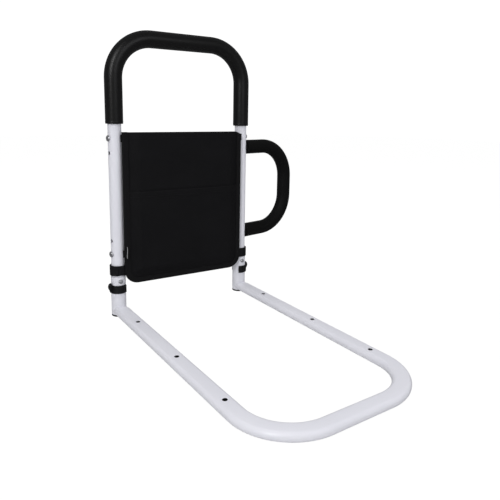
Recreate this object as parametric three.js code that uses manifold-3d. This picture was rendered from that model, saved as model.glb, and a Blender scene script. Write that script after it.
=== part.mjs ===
// Bed assist rail: a U-shaped base that lies under the mattress, an upright grab handle
// plugged into two sockets, a side handle and a storage pouch hung on the posts.
// Millimetres. +X points to the side handle, +Y from the front bar back to the posts, +Z up.
// The origin is the middle of the front bar's flat underside.
import * as THREE from "three";
import { mergeVertices } from "three/addons/utils/BufferGeometryUtils.js";
import Module from "manifold-3d";

// Overall sizes, between tube axes
const POST_SPACING = 283;
const BASE_DEPTH = 531; // front bar to posts
const RAIL_HEIGHT = 536.5; // underside of the base to the axis of the top rail

// Base: one flat-oval steel tube
const BASE_TUBE_WIDTH = 30;
const BASE_TUBE_HEIGHT = 15;
const BASE_WALL = 1.5;
const BASE_BEND_RADIUS = 86;
const SCREW_HOLE_DIAMETER = 8;
const SCREW_HOLES_FROM_POST = [101, 265, 416];

// Sockets: round steel tubes welded to the ends of the base
const SOCKET_DIAMETER = 28.6;
const SOCKET_WALL = 1.3;
const SOCKET_TOP = 76;
const SOCKET_DROP = 5; // the plugs' undersides are this much below the base's
const PLUG_FLANGE = 3;
const PLUG_DEPTH = 14;
const PLUG_WALL = 2.5;

// Grab handle: one round steel tube, bent to an upside-down U
const POST_WALL = 1.5;
const POST_FIT = 0.3; // radial clearance in the socket
const POST_END = 22;
const TOP_BEND_RADIUS = 76;

// Foam grip on the grab handle
const GRIP_WALL = 3.9;
const GRIP_END = 373.5; // height of its two lower ends, on average
const GRIP_SHIFT = 2; // it sits this much lower on the right post

// Side handle: a smaller tube bent to a C, with its own foam grip
const SIDE_TUBE_DIAMETER = 22.2;
const SIDE_TUBE_WALL = 1.5;
const SIDE_GRIP_WALL = 4.4;
const SIDE_TOP = 324.5; // heights of its two arms
const SIDE_BOTTOM = 134;
const SIDE_REACH = 141; // post axis to the axis of the upright stretch
const SIDE_BEND_RADIUS = 74;
const SIDE_STANDOFF = 3.4; // post surface to the ends of the arms
const SADDLE_DIAMETER = 21.6;
const CROSS_TURN = 9; // degrees: every cross hole is drilled this far off the frame's plane
const SIDE_BOLT_DIAMETER = 8;
const SIDE_BOLT_GRIP = 15; // how far the bolt goes into the insert
const INSERT_LENGTH = 20;
const SIDE_WASHER = 1.6;
const HEX_HEAD_RADIUS = 7.2; // to its corners
const HEX_HEAD_HEIGHT = 5.2;

// Bolts that hold the pouch's tabs
const POUCH_BOLT_DIAMETER = 6;
const POUCH_WASHER = 1.2;
const POUCH_WASHER_RADIUS = 6;
const NUT_HEIGHT = 5;
const NUT_RADIUS = 5.5; // to its corners
const PAN_HEAD_RADIUS = 6;
const PAN_HEAD_HEIGHT = 3;
const TAB_BOLT_TOP = 348;
const TAB_BOLT_BOTTOM = 122;
const SPARE_HOLE_DIAMETER = 8;
const SPARE_HOLES = [320, 148.5];

// Snap buttons and their springs
const BUTTON_DIAMETER = 8;
const BUTTON_HEIGHT = 67;
const BUTTON_RISE = 2.7; // beyond the socket's surface
const SPRING_THICKNESS = 0.8;
const SPRING_WIDTH = 8;
const SPRING_LENGTH = 34;

// C-shaped clips round the sockets
const CLIP_HEIGHT = 16.5;
const CLIP_WALL = 2.6;
const CLIP_WRAP = 250; // degrees
const CLIP_MIDDLE = { left: 51, right: 47.2 };
const CLIP_TURN = { left: 12, right: 0 }; // degrees about the tube, anticlockwise from above
const LUG_WIDTH = 8;

// Pouch
const POUCH_SIDE_GAP = 8.7; // a post's axis to the pouch's edge, on average
const POUCH_WIDTH = POST_SPACING - 2 * POUCH_SIDE_GAP;
const POUCH_SHIFT = -1.2; // it hangs this far towards the left post
const POUCH_SKEW = 3.5; // its lower left corner is this much higher than its lower right one
const POUCH_BOTTOM = 57.5;
const POUCH_TOP = 360;
const POUCH_CORNER = 28;
const PANEL_THICKNESS = 2.4;
const POUCH_BULGE = 9;
const POUCH_SLOPE = 14; // how far in from its edge the front panel rises to its full bulge
const BINDING_WALL = 1.2;
const POCKET_TOP = 244.5;
const POCKET_INSET = 17;
const POCKET_THICKNESS = 1.6;
const WEBBING_THICKNESS = 1.5;
const STRAP_WIDTH = 20;
const STRAP_MIDDLE = { left: 89, right: 87 };
const STRAP_TAIL = 40;
const STRAP_LAP = [250, -40]; // degrees round the post, where its doubled length starts and ends
const TAB_WIDTH = 14;
const TAB_OVERHANG = 2.5; // beyond the pouch's edge
const TAG_HEIGHT = 22;
const TAG_LENGTH = 6;
const TAG_MIDDLE = 126;
const TAG_THICKNESS = 0.8;
const TAG_INSET = 5; // from the pouch's edge

// Fits and fineness
const GAP = 0.3; // between pieces that touch
const BOLT_CLEARANCE = 0.4; // radial, round every shank
const POST_DIAMETER = SOCKET_DIAMETER - 2 * SOCKET_WALL - 2 * POST_FIT;
const ROUND = 24; // facets round a tube
const FINE = 16; // facets round a small piece
const BEND_STEPS = 8;
const OVAL_STEPS = 7; // in each rounded end of the base tube's section

const POST_RADIUS = POST_DIAMETER / 2;
const SOCKET_RADIUS = SOCKET_DIAMETER / 2;
const SIDES = { left: -1, right: 1 };
const degrees = THREE.MathUtils.degToRad;

const wasm = await Module();
wasm.setup();

// ---- booleans ----

function toSolid(geometry) {
  const bare = geometry.clone();
  bare.deleteAttribute("normal");
  bare.deleteAttribute("uv");
  const merged = mergeVertices(bare, 1e-4);
  return new wasm.Manifold(
    new wasm.Mesh({
      numProp: 3,
      vertProperties: new Float32Array(merged.attributes.position.array),
      triVerts: new Uint32Array(merged.index.array),
    }),
  );
}

function toGeometry(solid) {
  const mesh = solid.getMesh();
  const geometry = new THREE.BufferGeometry();
  geometry.setAttribute("position", new THREE.BufferAttribute(mesh.vertProperties, 3));
  geometry.setIndex(new THREE.BufferAttribute(mesh.triVerts, 1));
  return geometry;
}

function cut(geometry, tools) {
  return toGeometry(tools.reduce((solid, tool) => solid.subtract(toSolid(tool)), toSolid(geometry)));
}

function join(geometries) {
  return toGeometry(geometries.map(toSolid).reduce((all, solid) => all.add(solid)));
}

// ---- sections and paths ----

// A ring-shaped section.
function ringSection(outerRadius, innerRadius, facets) {
  const shape = new THREE.Shape(circlePoints(outerRadius, facets));
  shape.holes.push(new THREE.Path(circlePoints(innerRadius, facets).reverse()));
  return shape;
}

function circlePoints(radius, facets) {
  return Array.from({ length: facets }, (_, i) => {
    const angle = (2 * Math.PI * i) / facets;
    return new THREE.Vector2(radius * Math.cos(angle), radius * Math.sin(angle));
  });
}

// The outline of a flat-oval tube: two half circles joined by straight lines along Y.
function ovalPoints(width, height) {
  const radius = height / 2;
  const centre = (width - height) / 2;
  const points = [];
  for (const end of [1, -1]) {
    for (let i = 0; i <= OVAL_STEPS; i++) {
      const angle = (Math.PI * i) / OVAL_STEPS + (end < 0 ? Math.PI : 0);
      points.push(new THREE.Vector2(radius * Math.cos(angle), end * centre + radius * Math.sin(angle)));
    }
  }
  return points;
}

function ovalTubeSection(width, height, wall) {
  const shape = new THREE.Shape(ovalPoints(width, height));
  shape.holes.push(new THREE.Path(ovalPoints(width - 2 * wall, height - 2 * wall).reverse()));
  return shape;
}

// A run of tube: straight stretches joined by round bends, sampled only at the bends.
class BentRun extends THREE.Curve {
  constructor(corners, bendRadius) {
    super();
    this.stations = [{ point: corners[0], tangent: direction(corners[0], corners[1]) }];
    for (let i = 1; i < corners.length - 1; i++) {
      this.addBend(corners[i - 1], corners[i], corners[i + 1], bendRadius);
    }
    const last = corners.length - 1;
    this.stations.push({ point: corners[last], tangent: direction(corners[last - 1], corners[last]) });
  }

  addBend(before, corner, after, radius) {
    const into = direction(before, corner);
    const out = direction(corner, after);
    const turn = into.angleTo(out);
    const inset = radius * Math.tan(turn / 2);
    const start = corner.clone().addScaledVector(into, -inset);
    const side = out.clone().addScaledVector(into, -out.dot(into)).normalize();
    const centre = start.clone().addScaledVector(side, radius);
    for (let i = 0; i <= BEND_STEPS; i++) {
      const angle = (turn * i) / BEND_STEPS;
      this.stations.push({
        point: centre
          .clone()
          .addScaledVector(into, radius * Math.sin(angle))
          .addScaledVector(side, -radius * Math.cos(angle)),
        tangent: into.clone().multiplyScalar(Math.cos(angle)).addScaledVector(side, Math.sin(angle)),
      });
    }
  }

  get steps() {
    return this.stations.length - 1;
  }

  getPointAt(share) {
    return this.stations[Math.round(share * this.steps)].point.clone();
  }

  getTangentAt(share) {
    return this.stations[Math.round(share * this.steps)].tangent.clone();
  }
}

function direction(from, to) {
  return to.clone().sub(from).normalize();
}

function sweep(section, run) {
  return new THREE.ExtrudeGeometry(section, { extrudePath: run, steps: run.steps });
}

// ---- simple solids ----

// A cylinder along X, between two places.
function rodX(radius, from, to, facets = FINE) {
  return new THREE.CylinderGeometry(radius, radius, to - from, facets)
    .rotateZ(-Math.PI / 2)
    .translate((from + to) / 2, 0, 0);
}

// A cylinder along Z, between two heights.
function rodZ(radius, from, to, facets = ROUND) {
  return new THREE.CylinderGeometry(radius, radius, to - from, facets)
    .rotateX(Math.PI / 2)
    .translate(0, 0, (from + to) / 2);
}

// A washer or tube along X.
function ringX(outerRadius, innerRadius, from, to) {
  return new THREE.ExtrudeGeometry(ringSection(outerRadius, innerRadius, FINE), {
    depth: to - from,
    bevelEnabled: false,
  })
    .rotateY(Math.PI / 2)
    .translate(from, 0, 0);
}

// A plate seen from above, between two heights.
function plateZ(outline, from, to) {
  return new THREE.ExtrudeGeometry(outline, { depth: to - from, bevelEnabled: false, curveSegments: 12 })
    .translate(0, 0, from);
}

// A panel that stands in the XZ plane, between two depths.
function panelY(outline, from, to) {
  return new THREE.ExtrudeGeometry(outline, { depth: to - from, bevelEnabled: false, curveSegments: 8 })
    .rotateX(Math.PI / 2)
    .translate(0, to, 0);
}

// The outline of a strip of sheet that follows a bent line.
function stripOutline(line, thickness) {
  const edge = (side) =>
    line.map((point, i) => {
      const before = line[Math.max(i - 1, 0)];
      const after = line[Math.min(i + 1, line.length - 1)];
      const along = [direction(i ? before : point, i ? point : after)];
      along.push(direction(i < line.length - 1 ? point : before, i < line.length - 1 ? after : point));
      const across = along[0].clone().add(along[1]).normalize();
      const half = thickness / 2 / across.dot(along[0]);
      return new THREE.Vector2(point.x - side * across.y * half, point.y + side * across.x * half);
    });
  return new THREE.Shape([...edge(1), ...edge(-1).reverse()]);
}

// ---- materials ----

function finish(color, roughness, metalness) {
  return new THREE.MeshStandardMaterial({ color, roughness, metalness });
}

const whitePaint = finish(0xe6e6ec, 0.35, 0.1);
const blackFoam = finish(0x1b1b1c, 0.75, 0);
const blackPlastic = finish(0x161617, 0.5, 0);
const zincSteel = finish(0xb4b7ba, 0.35, 0.9);
const blackFabric = finish(0x17171a, 0.9, 0);
const blackWebbing = finish(0x1c1b1f, 0.85, 0);
const tagFabric = finish(0x9a9a9c, 0.8, 0);

function piece(name, geometry, material) {
  const mesh = new THREE.Mesh(geometry, material);
  mesh.name = name;
  return mesh;
}

// ---- base ----

// The tube leaves the left socket, runs under the mattress and comes back to the right socket.
function baseTube() {
  const halfWidth = POST_SPACING / 2;
  const middle = BASE_TUBE_HEIGHT / 2;
  const run = new BentRun(
    [
      new THREE.Vector3(-halfWidth, BASE_DEPTH, middle),
      new THREE.Vector3(-halfWidth, 0, middle),
      new THREE.Vector3(halfWidth, 0, middle),
      new THREE.Vector3(halfWidth, BASE_DEPTH, middle),
    ],
    BASE_BEND_RADIUS,
  );
  const tube = sweep(ovalTubeSection(BASE_TUBE_WIDTH, BASE_TUBE_HEIGHT, BASE_WALL), run);
  const tools = [];
  for (const side of Object.values(SIDES)) {
    const cope = rodZ(SOCKET_RADIUS + GAP, -BASE_TUBE_HEIGHT, 2 * BASE_TUBE_HEIGHT);
    tools.push(cope.translate(side * halfWidth, BASE_DEPTH, 0));
    for (const distance of SCREW_HOLES_FROM_POST) {
      const drill = rodZ(SCREW_HOLE_DIAMETER / 2, -BASE_TUBE_HEIGHT, 2 * BASE_TUBE_HEIGHT, FINE);
      tools.push(drill.translate(side * halfWidth, BASE_DEPTH - distance, 0));
    }
  }
  return cut(tube, tools);
}

// It stands on its plug's flange, with the base's coped end against its front.
function socketTube() {
  const tube = plateZ(
    ringSection(SOCKET_RADIUS, SOCKET_RADIUS - SOCKET_WALL, ROUND),
    PLUG_FLANGE + GAP - SOCKET_DROP,
    SOCKET_TOP,
  );
  return cut(tube, [buttonHole()]);
}

// The hole for the snap button, through the front walls of the socket and the post.
function buttonHole() {
  return rodX(BUTTON_DIAMETER / 2 + GAP, 0, SOCKET_DIAMETER)
    .rotateZ(-Math.PI / 2)
    .translate(0, 0, BUTTON_HEIGHT);
}

// A cap with a flange as wide as the socket, and a hollow stem pushed up into it.
function socketPlug() {
  const stem = SOCKET_RADIUS - SOCKET_WALL - GAP;
  const profile = [
    [0, 0],
    [SOCKET_RADIUS, 0],
    [SOCKET_RADIUS, PLUG_FLANGE],
    [stem, PLUG_FLANGE],
    [stem, PLUG_DEPTH],
    [stem - PLUG_WALL, PLUG_DEPTH],
    [stem - PLUG_WALL, PLUG_FLANGE],
    [0, PLUG_FLANGE],
  ];
  const points = profile.map(([radius, height]) => new THREE.Vector2(radius, height));
  return new THREE.LatheGeometry(points, ROUND).rotateX(Math.PI / 2).translate(0, 0, -SOCKET_DROP);
}

// A spring clip, open on its inner side, with a lug in the middle of its back.
function clip() {
  const inner = SOCKET_RADIUS + GAP;
  const outer = inner + CLIP_WALL;
  const half = degrees(CLIP_WRAP / 2);
  const outline = new THREE.Shape();
  outline.absarc(0, 0, outer, -half, half, false);
  outline.absarc(0, 0, inner, half, -half, true);
  const band = plateZ(outline, -CLIP_HEIGHT / 2, CLIP_HEIGHT / 2);
  return join([band, clipLug(inner, CLIP_HEIGHT / 2)]);
}

// The lug's side view: up past the band's edge, out, and back in at the band's foot.
function clipLug(inner, top) {
  const outline = new THREE.Shape();
  outline.moveTo(inner + 1, top - 4);
  outline.lineTo(inner + 1.2, top + 3.6);
  outline.quadraticCurveTo(inner + 2, top + 5, inner + 3.6, top + 4.4);
  outline.quadraticCurveTo(inner + 7.6, top + 1, inner + 7.6, top - 3.5);
  outline.quadraticCurveTo(inner + 7, top - 7, inner + 2, 1 - top);
  outline.closePath();
  return new THREE.ExtrudeGeometry(outline, { depth: LUG_WIDTH, bevelEnabled: false, curveSegments: 5 })
    .rotateX(Math.PI / 2)
    .translate(0, LUG_WIDTH / 2, 0);
}

// ---- grab handle ----

function grabHandleRun(leftEnd, rightEnd) {
  const halfWidth = POST_SPACING / 2;
  return new BentRun(
    [
      new THREE.Vector3(-halfWidth, 0, leftEnd),
      new THREE.Vector3(-halfWidth, 0, RAIL_HEIGHT),
      new THREE.Vector3(halfWidth, 0, RAIL_HEIGHT),
      new THREE.Vector3(halfWidth, 0, rightEnd),
    ],
    TOP_BEND_RADIUS,
  );
}

// A drill through a post, along the turned cross direction.
function crossDrill(side, height, diameter) {
  return rodX(diameter / 2, -POST_DIAMETER, POST_DIAMETER)
    .rotateZ(degrees(CROSS_TURN))
    .translate((side * POST_SPACING) / 2, 0, height);
}

function handleFrame() {
  const section = ringSection(POST_RADIUS, POST_RADIUS - POST_WALL, ROUND);
  const tools = Object.values(SIDES).map((side) =>
    buttonHole().translate((side * POST_SPACING) / 2, 0, 0),
  );
  const pouchBolt = POUCH_BOLT_DIAMETER + 2 * BOLT_CLEARANCE;
  const sideBolt = SIDE_BOLT_DIAMETER + 2 * BOLT_CLEARANCE;
  tools.push(crossDrill(SIDES.left, TAB_BOLT_TOP, pouchBolt));
  tools.push(crossDrill(SIDES.left, TAB_BOLT_BOTTOM, pouchBolt));
  tools.push(crossDrill(SIDES.right, TAB_BOLT_TOP, pouchBolt));
  tools.push(crossDrill(SIDES.right, SIDE_TOP, sideBolt));
  tools.push(crossDrill(SIDES.right, SIDE_BOTTOM, sideBolt));
  for (const height of SPARE_HOLES) {
    tools.push(crossDrill(SIDES.left, height, SPARE_HOLE_DIAMETER));
  }
  return cut(sweep(section, grabHandleRun(POST_END, POST_END)), tools);
}

function handleGrip() {
  const inner = POST_RADIUS + GAP;
  const section = ringSection(POST_RADIUS + GRIP_WALL, inner, ROUND);
  return sweep(section, grabHandleRun(GRIP_END + GRIP_SHIFT, GRIP_END - GRIP_SHIFT));
}

// ---- side handle, in its own frame: the right post's axis, with X along the arms ----

function sideHandleRun(armStart) {
  return new BentRun(
    [
      new THREE.Vector3(armStart, 0, SIDE_TOP),
      new THREE.Vector3(SIDE_REACH, 0, SIDE_TOP),
      new THREE.Vector3(SIDE_REACH, 0, SIDE_BOTTOM),
      new THREE.Vector3(armStart, 0, SIDE_BOTTOM),
    ],
    SIDE_BEND_RADIUS,
  );
}

const ARM_START = POST_RADIUS + SIDE_STANDOFF;

function sideHandleTube() {
  const radius = SIDE_TUBE_DIAMETER / 2;
  return sweep(ringSection(radius, radius - SIDE_TUBE_WALL, FINE), sideHandleRun(ARM_START));
}

function sideHandleGrip() {
  const inner = SIDE_TUBE_DIAMETER / 2 + GAP;
  const section = ringSection(SIDE_TUBE_DIAMETER / 2 + SIDE_GRIP_WALL, inner, FINE + 4);
  return sweep(section, sideHandleRun(ARM_START));
}

// A spacer between an arm's flat end and the round post.
function saddle() {
  const block = rodX(SADDLE_DIAMETER / 2, 0, ARM_START - GAP);
  const post = rodZ(POST_RADIUS + GAP, -SADDLE_DIAMETER, SADDLE_DIAMETER);
  const bore = rodX(SIDE_BOLT_DIAMETER / 2 + BOLT_CLEARANCE, 0, 2 * ARM_START);
  return cut(block, [post, bore]);
}

// The threaded insert in the end of an arm, which takes the bolt.
function armInsert() {
  const outer = SIDE_TUBE_DIAMETER / 2 - SIDE_TUBE_WALL - GAP;
  return ringX(outer, SIDE_BOLT_DIAMETER / 2 + GAP, ARM_START, ARM_START + INSERT_LENGTH);
}

// A hexagon-headed bolt along +X with its head's underside at the given place.
function hexBolt(underHead, tip) {
  const head = rodX(HEX_HEAD_RADIUS, underHead - HEX_HEAD_HEIGHT, underHead, 6);
  return join([head, rodX(SIDE_BOLT_DIAMETER / 2, underHead - 1, tip)]);
}

// The bolt goes in from the inner side of the post.
function sideBolt() {
  const underHead = -(POST_RADIUS + SIDE_WASHER + 2 * GAP);
  return hexBolt(underHead, ARM_START + SIDE_BOLT_GRIP);
}

function sideWasher() {
  const outer = SIDE_BOLT_DIAMETER;
  const face = -(POST_RADIUS + GAP);
  return ringX(outer, SIDE_BOLT_DIAMETER / 2 + BOLT_CLEARANCE, face - SIDE_WASHER, face);
}

// ---- pouch bolts, in the frame of one post: X along the bolt, from its head to its nut ----

const TAB_FACE = POST_RADIUS + GAP + WEBBING_THICKNESS + GAP;
const NUT_FACE = TAB_FACE + POUCH_WASHER + GAP;

function panBolt() {
  const face = -(POST_RADIUS + GAP);
  const head = [
    [0, face],
    [PAN_HEAD_RADIUS, face],
    [PAN_HEAD_RADIUS, face - 0.4 * PAN_HEAD_HEIGHT],
    [0.8 * PAN_HEAD_RADIUS, face - 0.85 * PAN_HEAD_HEIGHT],
    [0.4 * PAN_HEAD_RADIUS, face - PAN_HEAD_HEIGHT],
    [0, face - PAN_HEAD_HEIGHT],
  ].reverse();
  const points = head.map(([radius, place]) => new THREE.Vector2(radius, place));
  const lathe = new THREE.LatheGeometry(points, FINE).rotateZ(-Math.PI / 2);
  return join([lathe, rodX(POUCH_BOLT_DIAMETER / 2, face - 1, NUT_FACE + NUT_HEIGHT + 2)]);
}

function pouchNut() {
  const bore = rodX(POUCH_BOLT_DIAMETER / 2 + GAP, 0, 2 * NUT_FACE);
  return cut(rodX(NUT_RADIUS, NUT_FACE, NUT_FACE + NUT_HEIGHT, 6), [bore]);
}

function pouchWasher() {
  const bore = POUCH_BOLT_DIAMETER / 2 + BOLT_CLEARANCE;
  return ringX(POUCH_WASHER_RADIUS, bore, TAB_FACE, TAB_FACE + POUCH_WASHER);
}

// ---- snap button and its leaf spring, in the frame of one post ----

const LEAF_FACE = Math.sqrt((POST_RADIUS - POST_WALL - GAP) ** 2 - (SPRING_WIDTH / 2) ** 2);

// A domed pin along -Y.
function snapButton() {
  const radius = BUTTON_DIAMETER / 2;
  const foot = LEAF_FACE + GAP;
  const tip = SOCKET_RADIUS + BUTTON_RISE;
  const profile = [
    [0, foot],
    [radius, foot],
    [radius, tip - 2],
    [0.9 * radius, tip - 1],
    [0.62 * radius, tip - 0.3],
    [0, tip],
  ];
  const points = profile.map(([x, y]) => new THREE.Vector2(x, y));
  return new THREE.LatheGeometry(points, FINE).rotateX(Math.PI).translate(0, 0, BUTTON_HEIGHT);
}

// A hairpin of strip: the back leaf lies on the post's rear wall, the front leaf carries the button.
function snapSpring() {
  const leaf = LEAF_FACE - SPRING_THICKNESS / 2;
  const top = BUTTON_HEIGHT + SPRING_LENGTH;
  const line = [
    new THREE.Vector2(leaf, BUTTON_HEIGHT - SPRING_WIDTH),
    new THREE.Vector2(leaf, top - 3),
    new THREE.Vector2(leaf - 3, top),
    new THREE.Vector2(leaf - 6, top - 3),
    new THREE.Vector2(-leaf, BUTTON_HEIGHT + SPRING_WIDTH / 2),
    new THREE.Vector2(-leaf, BUTTON_HEIGHT - SPRING_WIDTH / 2),
  ];
  return new THREE.ExtrudeGeometry(stripOutline(line, SPRING_THICKNESS), {
    depth: SPRING_WIDTH,
    bevelEnabled: false,
  })
    .translate(0, 0, -SPRING_WIDTH / 2)
    .rotateX(Math.PI / 2)
    .rotateZ(Math.PI / 2);
}

// ---- pouch: depths count from the posts' axes, and its front faces -Y ----

const STRAP_BACK = -(POST_RADIUS + GAP);
const STRAP_FRONT = STRAP_BACK - WEBBING_THICKNESS;
const PANEL_BACK = STRAP_FRONT - GAP;
const PANEL_FRONT = PANEL_BACK - PANEL_THICKNESS;

// The pouch's outline: square top corners, round bottom corners, shrunk by an inset. Its bottom
// edge rises a little to the left.
function pouchOutline(inset, top) {
  const half = POUCH_WIDTH / 2 - inset;
  const bottom = POUCH_BOTTOM + inset;
  const radius = POUCH_CORNER - Math.min(inset, POUCH_CORNER / 2);
  const outline = new THREE.Shape();
  outline.moveTo(half, top);
  outline.lineTo(-half, top);
  const leftCorner = bottom + POUCH_SKEW + radius;
  outline.absarc(-half + radius, leftCorner, radius, Math.PI, 1.5 * Math.PI, false);
  outline.absarc(half - radius, bottom + radius, radius, 1.5 * Math.PI, 2 * Math.PI, false);
  outline.closePath();
  return outline;
}

function pouchBackPanel() {
  return panelY(pouchOutline(BINDING_WALL + GAP, POUCH_TOP), PANEL_FRONT, PANEL_BACK);
}

// The tape that wraps the panels' edge down one side, along the bottom and up the other side.
function pouchBinding() {
  const outer = panelY(pouchOutline(0, POUCH_TOP), PANEL_FRONT, PANEL_BACK);
  const inner = panelY(pouchOutline(BINDING_WALL, POUCH_TOP + GAP), PANEL_FRONT - 1, PANEL_BACK + 1);
  return cut(outer, [inner]);
}

// A shallow tray with sloping sides, open at the top.
function pouchFrontPanel() {
  const back = PANEL_FRONT - GAP;
  const outer = tray(BINDING_WALL + GAP, POUCH_TOP - GAP, back, back - POUCH_BULGE);
  const wall = PANEL_THICKNESS;
  const inner = tray(
    BINDING_WALL + GAP + 2 * wall,
    POUCH_TOP + 2 * POUCH_SLOPE,
    back + wall,
    back - POUCH_BULGE + wall,
  );
  return cut(outer, [inner]);
}

// A frustum between two depths: the outline at the back, shrunk by the slope at the front.
function tray(inset, top, back, front) {
  const far = pouchOutline(inset, top).extractPoints(6).shape;
  const near = pouchOutline(inset + POUCH_SLOPE, top).extractPoints(6).shape;
  const count = far.length;
  const positions = [];
  for (const [points, y] of [[far, back], [near, front]]) {
    for (const point of points) {
      positions.push(point.x, y, point.y);
    }
  }
  const faces = THREE.ShapeUtils.triangulateShape(far, []);
  const index = faces.flatMap(([a, b, c]) => [a, c, b]);
  index.push(...faces.flatMap(([a, b, c]) => [a + count, b + count, c + count]));
  for (let i = 0; i < count; i++) {
    const next = (i + 1) % count;
    index.push(i, next, next + count, i, next + count, i + count);
  }
  const geometry = new THREE.BufferGeometry();
  geometry.setAttribute("position", new THREE.Float32BufferAttribute(positions, 3));
  geometry.setIndex(index);
  return geometry;
}

// A patch pocket on the front of the pouch.
function pouchPocketPanel() {
  const back = PANEL_FRONT - GAP - POUCH_BULGE - GAP;
  return panelY(pouchOutline(POCKET_INSET, POCKET_TOP), back - POCKET_THICKNESS, back);
}

// Hook-and-loop webbing: once round the post, doubled on its outer side, with a tail along the pouch.
// Drawn for the left post, whose inner side is +X.
function strapOutline() {
  const inner = -STRAP_BACK;
  const single = -STRAP_FRONT;
  const doubled = single + WEBBING_THICKNESS;
  const [lapStart, lapEnd] = STRAP_LAP.map(degrees);
  const tailBack = -Math.asin(inner / single);
  const outline = new THREE.Shape();
  outline.moveTo(STRAP_TAIL, -inner);
  outline.lineTo(STRAP_TAIL, -single);
  outline.absarc(0, 0, single, degrees(270), lapStart, true);
  outline.absarc(0, 0, doubled, lapStart, lapEnd, true);
  outline.absarc(0, 0, single, lapEnd, tailBack, true);
  outline.closePath();
  return outline;
}

function pouchStrap(sideName) {
  const middle = STRAP_MIDDLE[sideName];
  const bottom = middle - STRAP_WIDTH / 2;
  const whole = plateZ(strapOutline(), bottom, bottom + STRAP_WIDTH);
  const strap = cut(whole, [rodZ(-STRAP_BACK, bottom - 1, bottom + STRAP_WIDTH + 1)]);
  return sideName === "left" ? strap : mirrorX(strap);
}

// A mirror image across the YZ plane, with its faces turned back to point out.
function mirrorX(geometry) {
  const mirrored = geometry.toNonIndexed().scale(-1, 1, 1);
  const { array } = mirrored.attributes.position;
  for (let i = 0; i < array.length; i += 9) {
    for (let k = 0; k < 3; k++) {
      [array[i + 3 + k], array[i + 6 + k]] = [array[i + 6 + k], array[i + 3 + k]];
    }
  }
  return mirrored;
}

// A bent piece of webbing from behind the pouch's edge to the inner side of a post, where the
// bolt goes through it. The frame is the post's.
function pouchTab(side, height) {
  const cross = new THREE.Vector2(Math.cos(degrees(CROSS_TURN)), Math.sin(degrees(CROSS_TURN)));
  const inward = cross.multiplyScalar(-side);
  const along = new THREE.Vector2(inward.y, -inward.x).multiplyScalar(-side);
  const face = POST_RADIUS + GAP + WEBBING_THICKNESS / 2;
  const depth = STRAP_BACK - WEBBING_THICKNESS / 2;
  const reach = (depth - inward.y * face) / along.y;
  const corner = inward.clone().multiplyScalar(face).addScaledVector(along, reach);
  const edge = POUCH_SHIFT - side * (POUCH_SIDE_GAP - TAB_OVERHANG);
  const end = inward.clone().multiplyScalar(face).addScaledVector(along, -(TAB_WIDTH / 2));
  const line = [new THREE.Vector2(edge, depth), corner, end];
  const outline = stripOutline(line, WEBBING_THICKNESS);
  const strip = plateZ(outline, height - TAB_WIDTH / 2, height + TAB_WIDTH / 2);
  const eyelet = rodX(POUCH_BOLT_DIAMETER / 2 + BOLT_CLEARANCE, -POST_DIAMETER, POST_DIAMETER)
    .rotateZ(degrees(CROSS_TURN))
    .translate(0, 0, height);
  return cut(strip, [eyelet]);
}

// A small blank label sewn into the left seam, standing out from it.
function pouchTag() {
  const seam = -POUCH_WIDTH / 2 + BINDING_WALL + GAP;
  const slope = POUCH_BULGE / POUCH_SLOPE;
  const root = PANEL_FRONT - GAP - slope * TAG_INSET - 2 * GAP;
  return new THREE.BoxGeometry(TAG_THICKNESS, TAG_LENGTH, TAG_HEIGHT)
    .translate(seam + TAG_INSET, root - TAG_LENGTH / 2, TAG_MIDDLE);
}

// ---- assembly ----

const rail = new THREE.Group();
rail.add(piece("base_tube", baseTube(), whitePaint));

// Everything on the posts hangs in a group at the posts' depth.
const posts = new THREE.Group();
posts.position.y = BASE_DEPTH;
rail.add(posts);
posts.add(piece("grab_handle_tube", handleFrame(), whitePaint));
posts.add(piece("grab_handle_grip", handleGrip(), blackFoam));

const postAxes = {};
for (const [name, side] of Object.entries(SIDES)) {
  const axis = new THREE.Group();
  axis.position.x = (side * POST_SPACING) / 2;
  posts.add(axis);
  postAxes[name] = axis;
  axis.add(piece(name + "_socket_tube", socketTube(), whitePaint));
  axis.add(piece(name + "_socket_plug", socketPlug(), blackPlastic));
  axis.add(piece(name + "_snap_spring", snapSpring(), zincSteel));
  axis.add(piece(name + "_snap_button", snapButton(), zincSteel));
  const ring = piece(name + "_socket_clip", clip(), blackPlastic);
  ring.position.z = CLIP_MIDDLE[name];
  ring.rotation.z = (side > 0 ? 0 : Math.PI) + degrees(CLIP_TURN[name]);
  axis.add(ring);
  axis.add(piece(name + "_pouch_strap", pouchStrap(name), blackWebbing));
}

const sideHandle = new THREE.Group();
sideHandle.rotation.z = degrees(CROSS_TURN);
postAxes.right.add(sideHandle);
sideHandle.add(piece("side_handle_tube", sideHandleTube(), whitePaint));
sideHandle.add(piece("side_handle_grip", sideHandleGrip(), blackFoam));
for (const [name, height] of [["upper", SIDE_TOP], ["lower", SIDE_BOTTOM]]) {
  const arm = new THREE.Group();
  arm.position.z = height;
  sideHandle.add(arm);
  arm.add(piece("side_handle_" + name + "_saddle", saddle(), blackPlastic));
  arm.add(piece("side_handle_" + name + "_insert", armInsert(), zincSteel));
  arm.add(piece("side_handle_" + name + "_bolt", sideBolt(), zincSteel));
  arm.add(piece("side_handle_" + name + "_washer", sideWasher(), zincSteel));
}

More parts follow.
